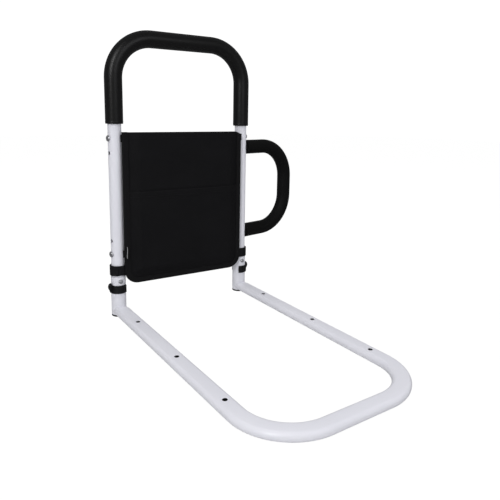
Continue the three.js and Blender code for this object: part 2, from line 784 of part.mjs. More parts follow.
const tabs = [
  ["left_upper", "left", TAB_BOLT_TOP],
  ["left_lower", "left", TAB_BOLT_BOTTOM],
  ["right_upper", "right", TAB_BOLT_TOP],
];
for (const [name, sideName, height] of tabs) {
  const side = SIDES[sideName];
  const bolt = new THREE.Group();
  bolt.position.z = height;
  bolt.rotation.z = degrees(CROSS_TURN) + (side > 0 ? Math.PI : 0);
  postAxes[sideName].add(bolt);
  bolt.add(piece(name + "_tab_bolt", panBolt(), zincSteel));
  bolt.add(piece(name + "_tab_washer", pouchWasher(), zincSteel));
  bolt.add(piece(name + "_tab_nut", pouchNut(), zincSteel));
  postAxes[sideName].add(piece(name + "_pouch_tab", pouchTab(side, height), blackWebbing));
}

const pouch = new THREE.Group();
pouch.position.x = POUCH_SHIFT;
posts.add(pouch);
pouch.add(piece("pouch_back_panel", pouchBackPanel(), blackFabric));
pouch.add(piece("pouch_front_panel", pouchFrontPanel(), blackFabric));
pouch.add(piece("pouch_pocket_panel", pouchPocketPanel(), blackFabric));
pouch.add(piece("pouch_binding", pouchBinding(), blackWebbing));
pouch.add(piece("pouch_tag", pouchTag(), tagFabric));

export default rail;
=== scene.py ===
# Bed assist rail: a white steel base and grab handle with foam grips, a side handle
# and a black storage pouch. Metres. +X to the side handle, +Y from the front bar to the posts.
import math

import bmesh
import bpy
import numpy as np
from mathutils import Matrix, Vector


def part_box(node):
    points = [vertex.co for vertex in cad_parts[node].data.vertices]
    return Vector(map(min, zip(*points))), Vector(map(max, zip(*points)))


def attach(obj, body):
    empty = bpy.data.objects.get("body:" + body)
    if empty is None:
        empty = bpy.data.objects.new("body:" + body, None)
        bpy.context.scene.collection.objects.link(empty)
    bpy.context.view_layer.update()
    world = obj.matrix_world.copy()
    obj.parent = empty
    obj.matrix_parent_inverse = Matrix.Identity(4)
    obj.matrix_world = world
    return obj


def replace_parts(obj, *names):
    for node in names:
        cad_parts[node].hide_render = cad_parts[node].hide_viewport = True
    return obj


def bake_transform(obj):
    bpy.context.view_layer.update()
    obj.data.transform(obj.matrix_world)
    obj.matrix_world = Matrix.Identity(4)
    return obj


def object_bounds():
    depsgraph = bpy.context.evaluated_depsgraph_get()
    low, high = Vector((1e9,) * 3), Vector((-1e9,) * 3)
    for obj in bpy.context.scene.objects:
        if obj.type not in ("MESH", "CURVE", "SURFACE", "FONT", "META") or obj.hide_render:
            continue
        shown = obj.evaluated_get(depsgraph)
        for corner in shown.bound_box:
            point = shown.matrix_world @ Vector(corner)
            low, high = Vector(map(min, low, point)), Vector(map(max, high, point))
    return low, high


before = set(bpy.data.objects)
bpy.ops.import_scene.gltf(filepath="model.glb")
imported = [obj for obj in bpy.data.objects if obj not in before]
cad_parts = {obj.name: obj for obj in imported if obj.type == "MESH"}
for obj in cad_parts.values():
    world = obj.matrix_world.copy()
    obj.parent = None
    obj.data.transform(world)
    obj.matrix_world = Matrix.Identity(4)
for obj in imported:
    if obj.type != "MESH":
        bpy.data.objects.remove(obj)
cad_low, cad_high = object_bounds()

# ---- camera ----
# It stands to the left of the rail, a little above the handle's middle, and looks back at the posts.
CAMERA_PLACE = (-0.4836, -0.4559, 0.4099)
CAMERA_TURN = math.radians(35.33)  # from +Y towards +X
CAMERA_DROP = math.radians(9.63)
CAMERA_ROLL = math.radians(1.25)

forward = Vector((
    math.sin(CAMERA_TURN) * math.cos(CAMERA_DROP),
    math.cos(CAMERA_TURN) * math.cos(CAMERA_DROP),
    -math.sin(CAMERA_DROP),
))
lens = bpy.data.cameras.new("camera")
lens.lens = 37.78
lens.sensor_width = 36
lens.shift_x = -0.0330
lens.shift_y = -0.1047
lens.clip_start = 0.02
camera = bpy.data.objects.new("camera", lens)
camera.matrix_world = (
    Matrix.Translation(CAMERA_PLACE)
    @ forward.to_track_quat("-Z", "Y").to_matrix().to_4x4()
    @ Matrix.Rotation(CAMERA_ROLL, 4, "Z")
)
bpy.context.scene.collection.objects.link(camera)
bpy.context.scene.camera = camera
bpy.context.scene.view_settings.view_transform = "Standard"


# ---- floor, backdrop and lights ----
# A plain pale floor and a white backdrop, with soft lights left, right and above. Every finish
# here and below is a tree of nodes, and sums on its values are written as Python sums.
FLOOR_DROP = 0.0006 - cad_low[2]  # the floor is just below the socket plugs
FLOOR_SIZE = 14.0
VEIL_HEIGHT = 0.0003  # over the floor
VEIL_SHARE = 0.93
WHITE_GLOW = 1.06


class Value:
    """A node's output. + - * / and the methods below add the Math node that works them out."""

    def __init__(self, finish, socket):
        self.finish = finish
        self.socket = socket

    def maths(self, operation, *values):
        return self.finish.node("ShaderNodeMath", {"operation": operation}, dict(enumerate(values)))

    def __add__(self, other):
        return self.maths("ADD", self, other)

    def __sub__(self, other):
        return self.maths("SUBTRACT", self, other)

    def __rsub__(self, other):
        return self.maths("SUBTRACT", other, self)

    def __mul__(self, other):
        return self.maths("MULTIPLY", self, other)

    def __truediv__(self, other):
        return self.maths("DIVIDE", self, other)

    __radd__ = __add__
    __rmul__ = __mul__

    def sine(self):
        return self.maths("SINE", self)

    def size(self):
        return self.maths("ABSOLUTE", self)

    def rise(self, low, high):
        """0 below low, 1 above high, and a smooth rise in between."""
        return self.finish.node(
            "ShaderNodeMapRange",
            {"interpolation_type": "SMOOTHSTEP"},
            {"Value": self, "From Min": low, "From Max": high},
        )


class Finish:
    """A material with one Principled surface, whose changing values are given as Values."""

    def __init__(self, name):
        self.material = bpy.data.materials.new(name)
        self.material.use_nodes = True
        self.tree = self.material.node_tree
        self.tree.nodes.clear()

    def node(self, kind, settings, inputs, output=0):
        """Adds a node: its settings first, then a number, colour or Value for each input."""
        made = self.tree.nodes.new(kind)
        for name, value in settings.items():
            setattr(made, name, value)
        for name, value in inputs.items():
            if isinstance(value, Value):
                self.tree.links.new(value.socket, made.inputs[name])
            else:
                made.inputs[name].default_value = value
        return Value(self, made.outputs[output])

    def place(self):
        return self.node("ShaderNodeTexCoord", {}, {}, "Object")

    def noise(self, grain, detail=2.0, where=None):
        """Smooth noise from 0 to 1 whose lumps are about grain metres across."""
        inputs = {"Vector": where or self.place(), "Scale": 1 / grain, "Detail": detail}
        return self.node("ShaderNodeTexNoise", {}, inputs)

    def cells(self, grain):
        """Distance to the nearest of scattered points that are about grain metres apart."""
        inputs = {"Vector": self.place(), "Scale": 1 / grain}
        return self.node("ShaderNodeTexVoronoi", {}, inputs, "Distance")

    def mix(self, share, first, second):
        """A colour between two, by a share from 0 to 1."""
        settings = {"data_type": "RGBA"}
        inputs = {0: share, 6: first, 7: second}
        return self.node("ShaderNodeMix", settings, inputs, 2)

    def relief(self, height, depth):
        """A normal bumped by a height from 0 to 1 that stands for depth metres."""
        inputs = {"Height": height, "Distance": depth, "Strength": 1.0}
        return self.node("ShaderNodeBump", {}, inputs, "Normal")

    def shown(self, shader):
        """Ends the tree: a shader becomes the material's surface."""
        end = self.tree.nodes.new("ShaderNodeOutputMaterial")
        self.tree.links.new(shader.socket, end.inputs["Surface"])
        return self.material

    def surface(self, **inputs):
        """Ends the tree in a Principled surface; names with _ stand for sockets with a space."""
        named = {name.replace("_", " "): value for name, value in inputs.items()}
        return self.shown(self.node("ShaderNodeBsdfPrincipled", {}, named, "BSDF"))


def grey(level, blue=1.0):
    """A neutral colour, cooled by a blue share above 1."""
    return (level, level, level * blue, 1.0)


def flat_square(name, size, height, material):
    """A square on the floor plane, centred on the rail."""
    half = size / 2
    mesh = bpy.data.meshes.new(name)
    corners = [(-half, -half), (half, -half), (half, half), (-half, half)]
    mesh.from_pydata([(x, y, height) for x, y in corners], [], [(0, 1, 2, 3)])
    mesh.materials.append(material)
    square = bpy.data.objects.new(name, mesh)
    bpy.context.scene.collection.objects.link(square)
    return square


def only_for_the_eye(backdrop):
    """The backdrop is seen, but neither lights the rail nor shows in its gloss."""
    backdrop.visible_diffuse = False
    backdrop.visible_glossy = False
    backdrop.visible_shadow = False
    backdrop.visible_transmission = False


floor_finish = Finish("pale_floor")
floor_grain = floor_finish.noise(0.05)
flat_square("floor", FLOOR_SIZE, -FLOOR_DROP, floor_finish.surface(
    Base_Color=floor_finish.mix(floor_grain, grey(0.80), grey(0.83)),
    Roughness=0.9,
)).visible_glossy = False

veil = Finish("white_veil")
glow = veil.node("ShaderNodeEmission", {}, {"Color": grey(1.0), "Strength": WHITE_GLOW})
clear = veil.node("ShaderNodeBsdfTransparent", {}, {})
both = veil.node("ShaderNodeMixShader", {}, {0: VEIL_SHARE, 1: clear, 2: glow})
only_for_the_eye(flat_square("floor_veil", FLOOR_SIZE, VEIL_HEIGHT - FLOOR_DROP, veil.shown(both)))

dome_finish = Finish("white_backdrop")
dome_glow = dome_finish.node("ShaderNodeEmission", {}, {"Color": grey(1.0), "Strength": WHITE_GLOW})
dome_mesh = bpy.data.meshes.new("backdrop")
dome_shape = bmesh.new()
bmesh.ops.create_icosphere(dome_shape, subdivisions=4, radius=FLOOR_SIZE * 0.6)
dome_shape.to_mesh(dome_mesh)
dome_shape.free()
dome_mesh.materials.append(dome_finish.shown(dome_glow))
dome = bpy.data.objects.new("backdrop", dome_mesh)
bpy.context.scene.collection.objects.link(dome)
only_for_the_eye(dome)

world = bpy.data.worlds.new("studio")
bpy.context.scene.world = world
world.use_nodes = True
world.node_tree.nodes["Background"].inputs["Color"].default_value = (0.97, 0.97, 1.0, 1.0)
world.node_tree.nodes["Background"].inputs["Strength"].default_value = 0.20


def soft_light(name, place, aim, width, height, power, colour=(1.0, 1.0, 1.0), gloss=True):
    """A rectangular light at place, turned to aim. Without gloss it leaves no highlights."""
    lamp = bpy.data.lights.new(name, "AREA")
    lamp.shape = "RECTANGLE"
    lamp.size = width
    lamp.size_y = height
    lamp.energy = power
    lamp.color = colour
    light = bpy.data.objects.new(name, lamp)
    light.location = place
    light.rotation_mode = "QUATERNION"
    light.rotation_quaternion = (Vector(aim) - Vector(place)).to_track_quat("-Z", "Y")
    light.visible_glossy = gloss
    bpy.context.scene.collection.objects.link(light)


soft_light("key_light", (-1.9, -0.9, 1.5), (0.0, 0.35, 0.2), 0.5, 1.6, 28)
soft_light("front_light", (0.2, -2.4, 1.3), (0.0, 0.3, 0.2), 1.8, 1.4, 14, (0.97, 0.98, 1.0))
soft_light("right_light", (2.0, 0.1, 1.2), (0.0, 0.3, 0.2), 1.2, 1.4, 8, (0.96, 0.97, 1.0), False)
soft_light("top_light", (0.0, 0.3, 2.4), (0.0, 0.3, 0.0), 1.8, 1.8, 24, gloss=False)
soft_light("back_light", (0.3, 2.6, 1.4), (0.0, 0.5, 0.2), 1.6, 1.2, 10, gloss=False)


# ---- base tube ----
# One flat-oval steel tube, bent to a U and powder-coated white outside, that lies under the
# mattress. Six screw holes are punched through its legs, three in each, where the bare inside
# shows. The inside is coloured very dark, partly as bare steel and partly as painted shade, and
# the holes' cut walls take the same colour as painted shade. Its coped ends are welded to the sockets.
left_axis = sum(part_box("left_socket_tube"), Vector()) / 2
right_axis = sum(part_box("right_socket_tube"), Vector()) / 2
HALF_SPACING = (right_axis.x - left_axis.x) / 2
POSTS_Y = left_axis.y
SOCKET_RADIUS = (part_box("left_socket_tube")[1].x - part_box("left_socket_tube")[0].x) / 2
BASE_WIDTH = 0.030
BASE_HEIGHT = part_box("base_tube")[1].z
BASE_WALL = 0.0015
BASE_BEND = 0.086
SCREW_HOLES = (0.101, 0.265, 0.416)  # from the posts' axes
SCREW_HOLE_RADIUS = 0.0040
DIMPLE_DEPTH = 0.0005
DIMPLE_RADIUS = 0.0062
WELD_FILLET = 0.0032


def smooth_step(share):
    """0 to 1 with level ends: 3 t^2 - 2 t^3."""
    share = np.clip(share, 0, 1)
    return share * share * (3 - 2 * share)


def bent_path(corners, bend_radius, normal):
    """Straight stretches joined by round bends in one plane. Gives the path's length, and a
    function of distances along it that gives each place, its in-plane cross direction
    (normal x tangent) and the normal."""
    corners = np.array(corners, float)
    up = np.array(normal, float)
    ways = np.diff(corners, axis=0)
    ways /= np.linalg.norm(ways, axis=1)[:, None]
    stretches = []
    start = corners[0]
    for way, after, corner in zip(ways[:-1], ways[1:], corners[1:-1]):
        turn = math.atan2(np.dot(np.cross(way, after), up), np.dot(way, after))
        inset = bend_radius * math.tan(abs(turn) / 2)
        stretches.append((np.linalg.norm(corner - start) - inset, start, way, 0.0))
        bend = np.sign(turn) / bend_radius
        stretches.append((abs(turn) * bend_radius, corner - way * inset, way, bend))
        start = corner + after * inset
    stretches.append((np.linalg.norm(corners[-1] - start), start, ways[-1], 0.0))
    ends = np.cumsum([stretch[0] for stretch in stretches])

    def at(distance):
        """On a straight, start + s heading; on a bend, a turn of s / radius about its centre."""
        distance = np.asarray(distance, float)
        place = np.zeros(distance.shape + (3,))
        way = np.zeros_like(place)
        which = np.clip(np.searchsorted(ends, distance), 0, len(stretches) - 1)
        for i, (length, start, heading, bend) in enumerate(stretches):
            here = which == i
            along = (distance[here] - (ends[i] - length))[:, None]
            left = np.cross(up, heading)
            if bend:
                angle = along * bend
                place[here] = start + (np.sin(angle) * heading + (1 - np.cos(angle)) * left) / bend
                way[here] = np.cos(angle) * heading + np.sin(angle) * left
            else:
                place[here] = start + along * heading
                way[here] = heading
        return place, np.cross(up, way), up

    return ends[-1], at


def swept(at, distance, section):
    """Lays section offsets (a, b) off a path: place + a side + b normal. distance and section
    are grids: one row for each station, one column for each point round the section."""
    place, side, up = at(distance)
    return place + section[..., :1] * side + section[..., 1:] * up


def cells_of(index):
    """The four corners of every cell of a grid of indices, in order round the cell."""
    return np.stack([index[:-1, :-1], index[:-1, 1:], index[1:, 1:], index[1:, :-1]], -1)


def grid_object(
    name, points, material, body="rail", close_rows=False, close_columns=True, uv=None,
):
    """A mesh of quads on a grid of points. Doubled points are merged, faces turned to point
    out, and the piece rides on a body. uv is a grid of (u, v) in metres."""
    rows, columns = points.shape[:2]
    index = np.arange(rows * columns).reshape(rows, columns)
    if close_rows:
        index = np.vstack([index, index[:1]])
    if close_columns:
        index = np.hstack([index, index[:, :1]])
    mesh = bpy.data.meshes.new(name)
    mesh.from_pydata(points.reshape(-1, 3).tolist(), [], cells_of(index).reshape(-1, 4).tolist())
    if uv is not None:
        grid = np.arange(uv.shape[0] * uv.shape[1]).reshape(uv.shape[:2])
        corner_uv = uv.reshape(-1, 2)[cells_of(grid).ravel()]
        layer = mesh.uv_layers.new(name="UVMap")
        layer.data.foreach_set("uv", corner_uv.astype(np.float32).ravel())
    return finished(name, mesh, material, body)


def finished(name, mesh, material, body):
    """Merges doubles, turns faces out, smooths, and puts the mesh on its body, if it has one."""
    shape = bmesh.new()
    shape.from_mesh(mesh)
    bmesh.ops.remove_doubles(shape, verts=shape.verts, dist=1e-6)
    bmesh.ops.dissolve_degenerate(shape, edges=shape.edges, dist=1e-7)
    bmesh.ops.recalc_face_normals(shape, faces=shape.faces)
    shape.to_mesh(mesh)
    shape.free()
    mesh.materials.clear()
    mesh.materials.append(material)
    smooth(mesh)
    piece = bpy.data.objects.new(name, mesh)
    bpy.context.scene.collection.objects.link(piece)
    if body:
        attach(piece, body)
    return piece


def smooth(mesh, crease=38):
    """Smooth shading, with edges sharper than crease degrees left sharp."""
    mesh.polygons.foreach_set("use_smooth", np.ones(len(mesh.polygons), bool))
    mesh.set_sharp_from_angle(angle=math.radians(crease))


def combined(piece, tool, operation):
    """Cuts a tool mesh from a piece or joins it on, and keeps the result as the piece's mesh."""
    helper = bpy.data.objects.new("tool", tool)
    bpy.context.scene.collection.objects.link(helper)
    step = piece.modifiers.new("combine", "BOOLEAN")
    step.operation = operation
    step.solver = "EXACT"
    step.object = helper
    graph = bpy.context.evaluated_depsgraph_get()
    done = bpy.data.meshes.new_from_object(piece.evaluated_get(graph))
    piece.modifiers.clear()
    material = piece.data.materials[0]
    piece.data = done
    done.materials.clear()
    done.materials.append(material)
    done.polygons.foreach_set("material_index", np.zeros(len(done.polygons), np.int32))
    smooth(done)
    bpy.data.objects.remove(helper)
    return piece


def rods(ends, radius, facets=40):
    """A mesh of round rods, each between two points."""
    shape = bmesh.new()
    for start, end in ends:
        way = Vector(end) - Vector(start)
        turn = way.to_track_quat("Z", "Y").to_matrix().to_4x4()
        bmesh.ops.create_cone(
            shape, cap_ends=True, segments=facets, radius1=radius, radius2=radius,
            depth=way.length, matrix=Matrix.Translation((Vector(start) + Vector(end)) / 2) @ turn,
        )
    mesh = bpy.data.meshes.new("rods")
    shape.to_mesh(mesh)
    shape.free()
    return mesh


def powder_coat():
    """White powder coat: faint orange peel, slightly uneven gloss and a very slight change of tone."""
    paint = Finish("white_powder_coat")
    tone = paint.noise(0.09, 3.0)
    peel = paint.noise(0.0013, 2.0)
    gloss = paint.noise(0.012, 3.0)
    scuffs = paint.noise(0.02, 6.0).rise(0.66, 0.74)
    return paint.surface(
        Base_Color=paint.mix(
            scuffs * 0.35,
            paint.mix(tone, (0.77, 0.77, 0.83, 1), (0.82, 0.82, 0.87, 1)),
            (0.66, 0.66, 0.71, 1),
        ),
        Roughness=gloss * 0.14 + scuffs * 0.08 + 0.26,
        Normal=paint.relief(peel, 0.00003),
        IOR=1.5,
    )


def mill_scale_and_painted_shade():
    """The uncoated steel inside a tube: dark grey scale in soft patches, kept very dark so that it
    also paints the shade inside the tube and on the holes' cut walls.
    """
    bare = Finish("bare_steel_and_painted_hole_shade")
    patches = bare.noise(0.006, 4.0)
    return bare.surface(
        Base_Color=bare.mix(patches, grey(0.015), grey(0.035, 1.05)),
        Roughness=patches * 0.2 + 0.6,
        Normal=bare.relief(patches, 0.00005),
        Specular_IOR_Level=0.2,
    )


def oval(width, height, inset, growth, around):
    """A flat-oval outline: two half circles joined by straights, inset by a wall or grown by a
    fillet."""
    radius = height / 2 - inset + growth
    straight = (width - height) / 2
    a = np.sign(np.cos(around)) * straight + radius * np.cos(around)
    return np.stack([a, radius * np.sin(around)], -1)


def base_stations(length):
    """Distances along the base: 4 mm apart, finer at the welds and round the screw holes."""
    fine = [np.linspace(0, 0.006, 9), np.linspace(0.006, 0.05, 24)]
    fine += [hole + np.linspace(-0.010, 0.010, 21) for hole in SCREW_HOLES]
    ends = np.concatenate(fine)
    every = np.concatenate([ends, length - ends, np.arange(0.05, length - 0.05, 0.004)])
    every = np.unique(np.round(every, 5))
    return every[np.concatenate([[True], np.diff(every) > 0.0004])]


def base_surface(inset, length, at, distance):
    """The oval section along the U. At each end it starts on the socket's round wall and flares
    into it as a quarter-round fillet; at each hole the top and bottom dip like a punched dimple."""
    around = np.concatenate([
        np.linspace(-math.pi / 2, math.pi / 2, 25) + turn for turn in (0.0, math.pi)
    ])
    end = np.minimum(distance, length - distance)[:, None]
    left = np.clip(WELD_FILLET - end, 0, WELD_FILLET)
    growth = (WELD_FILLET - np.sqrt(WELD_FILLET**2 - left**2)) * (inset == 0)
    section = oval(BASE_WIDTH, BASE_HEIGHT, inset, growth, around[None, :] + 0 * end)
    flat = np.sign(section[..., 0]) * np.minimum(np.abs(section[..., 0]), SOCKET_RADIUS - 0.0004)
    start = np.sqrt(SOCKET_RADIUS**2 - flat**2) - 0.0002
    shift = start * (1 - smooth_step(end / 0.045))
    ahead = distance[:, None] < length / 2
    along = distance[:, None] + np.where(ahead, shift, -shift)
    for hole in SCREW_HOLES:
        away = (end - hole) ** 2 + section[..., 0] ** 2
        section[..., 1] -= np.sign(section[..., 1]) * DIMPLE_DEPTH * np.exp(-away / DIMPLE_RADIUS**2)
    width_now = 1 - smooth_step(1 - end / 0.02) * (1 - flat.max() / section[..., 0].max())
    section[..., 0] *= width_now
    points = swept(at, along, section)
    points[..., 2] = np.maximum(points[..., 2], 0.0)
    return points


white_paint = powder_coat()
dark_inside_and_hole_shade = mill_scale_and_painted_shade()
base_length, base_at = bent_path(
    [
        (-HALF_SPACING, POSTS_Y, BASE_HEIGHT / 2),
        (-HALF_SPACING, 0, BASE_HEIGHT / 2),
        (HALF_SPACING, 0, BASE_HEIGHT / 2),
        (HALF_SPACING, POSTS_Y, BASE_HEIGHT / 2),
    ],
    BASE_BEND,
    (0, 0, 1),
)
stations = base_stations(base_length)
base = grid_object(
    "base",
    np.concatenate([
        base_surface(0, base_length, base_at, stations),
        base_surface(BASE_WALL, base_length, base_at, stations)[::-1],
    ]),
    white_paint, close_rows=True,
)
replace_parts(base, "base_tube")
combined(base, rods([
    ((side * HALF_SPACING, POSTS_Y - hole, -0.01), (side * HALF_SPACING, POSTS_Y - hole, 0.03))
    for side in (-1, 1) for hole in SCREW_HOLES
], SCREW_HOLE_RADIUS), "DIFFERENCE")
# Painted shade: the inner faces take the dark steel, partly its own colour and partly shade in the
# tube, and the holes' cut walls take it only as shade, though paint covers them.
base.data.materials.append(dark_inside_and_hole_shade)
for polygon in base.data.polygons:
    centre, facing = polygon.center, polygon.normal
    offset = Vector((abs(centre.x) - HALF_SPACING, 0, centre.z - BASE_HEIGHT / 2))
    on_leg = BASE_BEND < centre.y < POSTS_Y - 2 * SOCKET_RADIUS
    if on_leg and offset.length < BASE_WIDTH / 2 - BASE_WALL / 2:
        to_hole = min(math.hypot(offset.x, centre.y - POSTS_Y + hole) for hole in SCREW_HOLES)
        lines_tube = abs(facing.z) > 0.5 and facing.z * offset.z < 0
        # painted shade on the holes' cut walls
        painted_shade_hole_walls = abs(facing.z) < 0.5 and to_hole < SCREW_HOLE_RADIUS + 0.0002
        polygon.material_index = int(lines_tube or painted_shade_hole_walls)


# ---- sockets and their plugs ----
# Round steel tubes that stand on the base's ends, with rolled rings under their mouths. A black
# plastic plug is pushed into the foot of each, and its flange keeps the steel off the floor.
SOCKET_WALL = 0.0013
SLIP = 0.0003  # the gap between a tube and what fits in it or round it
SOCKET_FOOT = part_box("left_socket_tube")[0].z
SOCKET_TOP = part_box("left_socket_tube")[1].z
RING_PITCH = 0.0039
RING_COUNT = 5
RING_DEPTH = 0.00035
BUTTON_HEIGHT = 0.067
BUTTON_HOLE_RADIUS = 0.0043
PLUG_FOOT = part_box("left_socket_plug")[0].z
PLUG_FLANGE = 0.003
PLUG_DEPTH = 0.014
SIDES = {"left": left_axis, "right": right_axis}


def plastic():
    """Moulded black plastic: a fine matt grain and slightly uneven gloss."""
    moulded = Finish("black_moulded_plastic")
    grain = moulded.noise(0.0004, 2.0)
    flow = moulded.noise(0.008, 3.0)
    return moulded.surface(
        Base_Color=moulded.mix(flow, grey(0.0045), grey(0.0075, 1.08)),
        Roughness=flow * 0.12 + 0.40,
        Normal=moulded.relief(grain, 0.00003),
        Specular_IOR_Level=0.18,
    )


def upright(x, y):
    """A path straight up from the floor at x, y."""
    return bent_path([(x, y, 0), (x, y, 1)], 0.01, (0, 1, 0))[1]


def turned(at, profile, facets=96):
    """A lathe along a path: profile is rows of (distance, radius), turned round the path."""
    profile = np.array(profile, float)
    around = np.linspace(0, 2 * math.pi, facets, endpoint=False)
    section = profile[:, 1][:, None, None] * np.stack([np.cos(around), np.sin(around)], -1)
    return swept(at, profile[:, :1] + 0 * around, section)


def rounded(start, end, steps=6, hollow=False):
    """A quarter round from one (distance, radius) point to another: it leaves the first square
    to the axis if hollow, and along it otherwise."""
    turn = np.linspace(0, math.pi / 2, steps)
    first, second = (1 - np.cos(turn), np.sin(turn)) if hollow else (np.sin(turn), 1 - np.cos(turn))
    return np.stack([
        start[0] + (end[0] - start[0]) * first,
        start[1] + (end[1] - start[1]) * second,
    ], -1)


def tube_wall(foot, top, outer, inner, step=0.004, lip=0.0004, swell=None):
    """The closed profile of a tube: up the outside, over a rounded lip, down the inside."""
    up = np.arange(foot + lip, top - lip, step)
    up = np.append(up, top - lip)
    outside = np.stack([up, outer + (swell(up) if swell else 0 * up)], -1)
    inside = np.stack([up[::-1], inner + 0 * up], -1)
    return np.concatenate([
        outside,
        rounded(outside[-1], (top, outer - lip)),
        rounded((top, inner + lip), (top - lip, inner), hollow=True),
        inside,
        rounded((foot + lip, inner), (foot, inner + lip)),
        rounded((foot, outer - lip), (foot + lip, outer), hollow=True),
    ])


def rolled_rings(height):
    """Grooves under the socket's mouth: a sum of bell-shaped dips, one every ring pitch."""
    dips = [SOCKET_TOP - 0.002 - i * RING_PITCH for i in range(RING_COUNT)]
    return -RING_DEPTH * sum(np.exp(-(((height - dip) / 0.0006) ** 2)) for dip in dips)


black_plastic = plastic()
for side_name, axis in SIDES.items():
    socket_line = upright(axis.x, axis.y)
    wall = tube_wall(
        SOCKET_FOOT, SOCKET_TOP, SOCKET_RADIUS, SOCKET_RADIUS - SOCKET_WALL,
        step=0.0004, swell=rolled_rings,
    )
    wall = wall[np.concatenate([[True], np.abs(np.diff(wall, axis=0)).sum(1) > 1e-6])]
    keep = wall[:, 0] > SOCKET_TOP - RING_COUNT * RING_PITCH - 0.003
    keep |= wall[:, 0] < SOCKET_FOOT + 0.001
    keep |= np.arange(len(wall)) % 8 == 0
    socket = grid_object(
        side_name + "_socket", turned(socket_line, wall[keep]), white_paint,
        close_rows=True,
    )
    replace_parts(socket, side_name + "_socket_tube")
    combined(socket, rods([
        ((axis.x, axis.y - 2 * SOCKET_RADIUS, BUTTON_HEIGHT), (axis.x, axis.y, BUTTON_HEIGHT)),
    ], BUTTON_HOLE_RADIUS), "DIFFERENCE")

    stem = SOCKET_RADIUS - SOCKET_WALL - SLIP
    plug_shape = np.concatenate([
        [(0.0, 0.0)],
        [(0.0, SOCKET_RADIUS - 0.0008)],
        rounded((0.0, SOCKET_RADIUS - 0.0006), (0.0006, SOCKET_RADIUS), hollow=True),
        rounded((PLUG_FLANGE - 0.0003, SOCKET_RADIUS), (PLUG_FLANGE, SOCKET_RADIUS - 0.0003)),
        [(PLUG_FLANGE, stem), (PLUG_DEPTH - 0.001, stem)],
        [(PLUG_DEPTH, stem - 0.0006), (PLUG_DEPTH, stem - 0.0025), (PLUG_FLANGE, stem - 0.0025)],
        [(PLUG_FLANGE, 0.0)],
    ])
    plug_shape[:, 0] += PLUG_FOOT
    plug = grid_object(
        side_name + "_plug", turned(socket_line, plug_shape), black_plastic,
    )
    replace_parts(plug, side_name + "_socket_plug")


# ---- grab handle tube ----
# One round steel tube bent to an upside-down U, with cross holes for the bolts and a hole for the
# snap button in each foot. Powder-coated like the base.
POST_RADIUS = SOCKET_RADIUS - SOCKET_WALL - SLIP
POST_WALL = 0.0015
POST_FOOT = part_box("grab_handle_tube")[0].z
RAIL_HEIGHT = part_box("grab_handle_tube")[1].z - POST_RADIUS
TOP_BEND = 0.076
CROSS_TURN = math.radians(9)
TAB_BOLTS = {"left_upper": 0.348, "left_lower": 0.122, "right_upper": 0.348}
TAB_BOLT_HOLE_RADIUS = 0.0034
SPARE_HOLES = (0.320, 0.1485)
SPARE_HOLE_RADIUS = 0.004
SIDE_ARMS = {"upper": 0.3245, "lower": 0.134}
SIDE_BOLT_HOLE_RADIUS = 0.0044


def across(axis, height, reach=0.02, turn=CROSS_TURN):
    """The two ends of a line through a post at a height, along the turned cross direction."""
    way = Vector((math.cos(turn), math.sin(turn), 0)) * reach
    middle = Vector((axis.x, axis.y, height))
    return middle - way, middle + way


handle_length, handle_at = bent_path(
    [
        (-HALF_SPACING, POSTS_Y, POST_FOOT),
        (-HALF_SPACING, POSTS_Y, RAIL_HEIGHT),
        (HALF_SPACING, POSTS_Y, RAIL_HEIGHT),
        (HALF_SPACING, POSTS_Y, POST_FOOT),
    ],
    TOP_BEND,
    (0, 1, 0),
)
handle_wall = tube_wall(0, handle_length, POST_RADIUS, POST_RADIUS - POST_WALL, step=0.005)
handle = grid_object(
    "grab_handle", turned(handle_at, handle_wall, 72), white_paint, close_rows=True,
)
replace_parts(handle, "grab_handle_tube")
combined(handle, rods(
    [across(SIDES[name.split("_")[0]], height) for name, height in TAB_BOLTS.items()],
    TAB_BOLT_HOLE_RADIUS,
), "DIFFERENCE")
combined(handle, rods(
    [across(left_axis, height) for height in SPARE_HOLES], SPARE_HOLE_RADIUS,
), "DIFFERENCE")
combined(handle, rods(
    [across(right_axis, height) for height in SIDE_ARMS.values()], SIDE_BOLT_HOLE_RADIUS,
), "DIFFERENCE")
combined(handle, rods([
    ((axis.x, axis.y - 2 * SOCKET_RADIUS, BUTTON_HEIGHT), (axis.x, axis.y, BUTTON_HEIGHT))
    for axis in SIDES.values()
], BUTTON_HOLE_RADIUS), "DIFFERENCE")


# ---- grab handle grip ----
# A sleeve of closed-cell foam rubber, pushed over the bends and the tops of both posts. Each end
# is cut square, with a fine raised ring just above it.
GRIP_OUTER = POST_RADIUS + 0.0039
GRIP_BORE = POST_RADIUS + 0.0002
GRIP_ENDS = (0.3755, 0.3715)  # heights on the left and right posts
GRIP_RING_HEIGHT = 0.0037
GRIP_RING_RISE = 0.00035


def foam(name, matt, shine):
    """Black foam rubber with a skin: tiny pores, soft mottling and uneven gloss."""
    rubber = Finish(name)
    pores = rubber.cells(0.0009).rise(0.0, 0.55)
    skin = rubber.noise(0.006, 4.0)
    broad = rubber.noise(0.05, 2.0)
    return rubber.surface(
        Base_Color=rubber.mix(skin * 0.6 + broad * 0.4, grey(0.0022), grey(0.0046, 1.03)),
        Roughness=skin * 0.14 + broad * 0.10 + matt,
        Normal=rubber.relief(pores * 0.35 + skin * 0.65, 0.00010),
        Specular_IOR_Level=shine,
    )


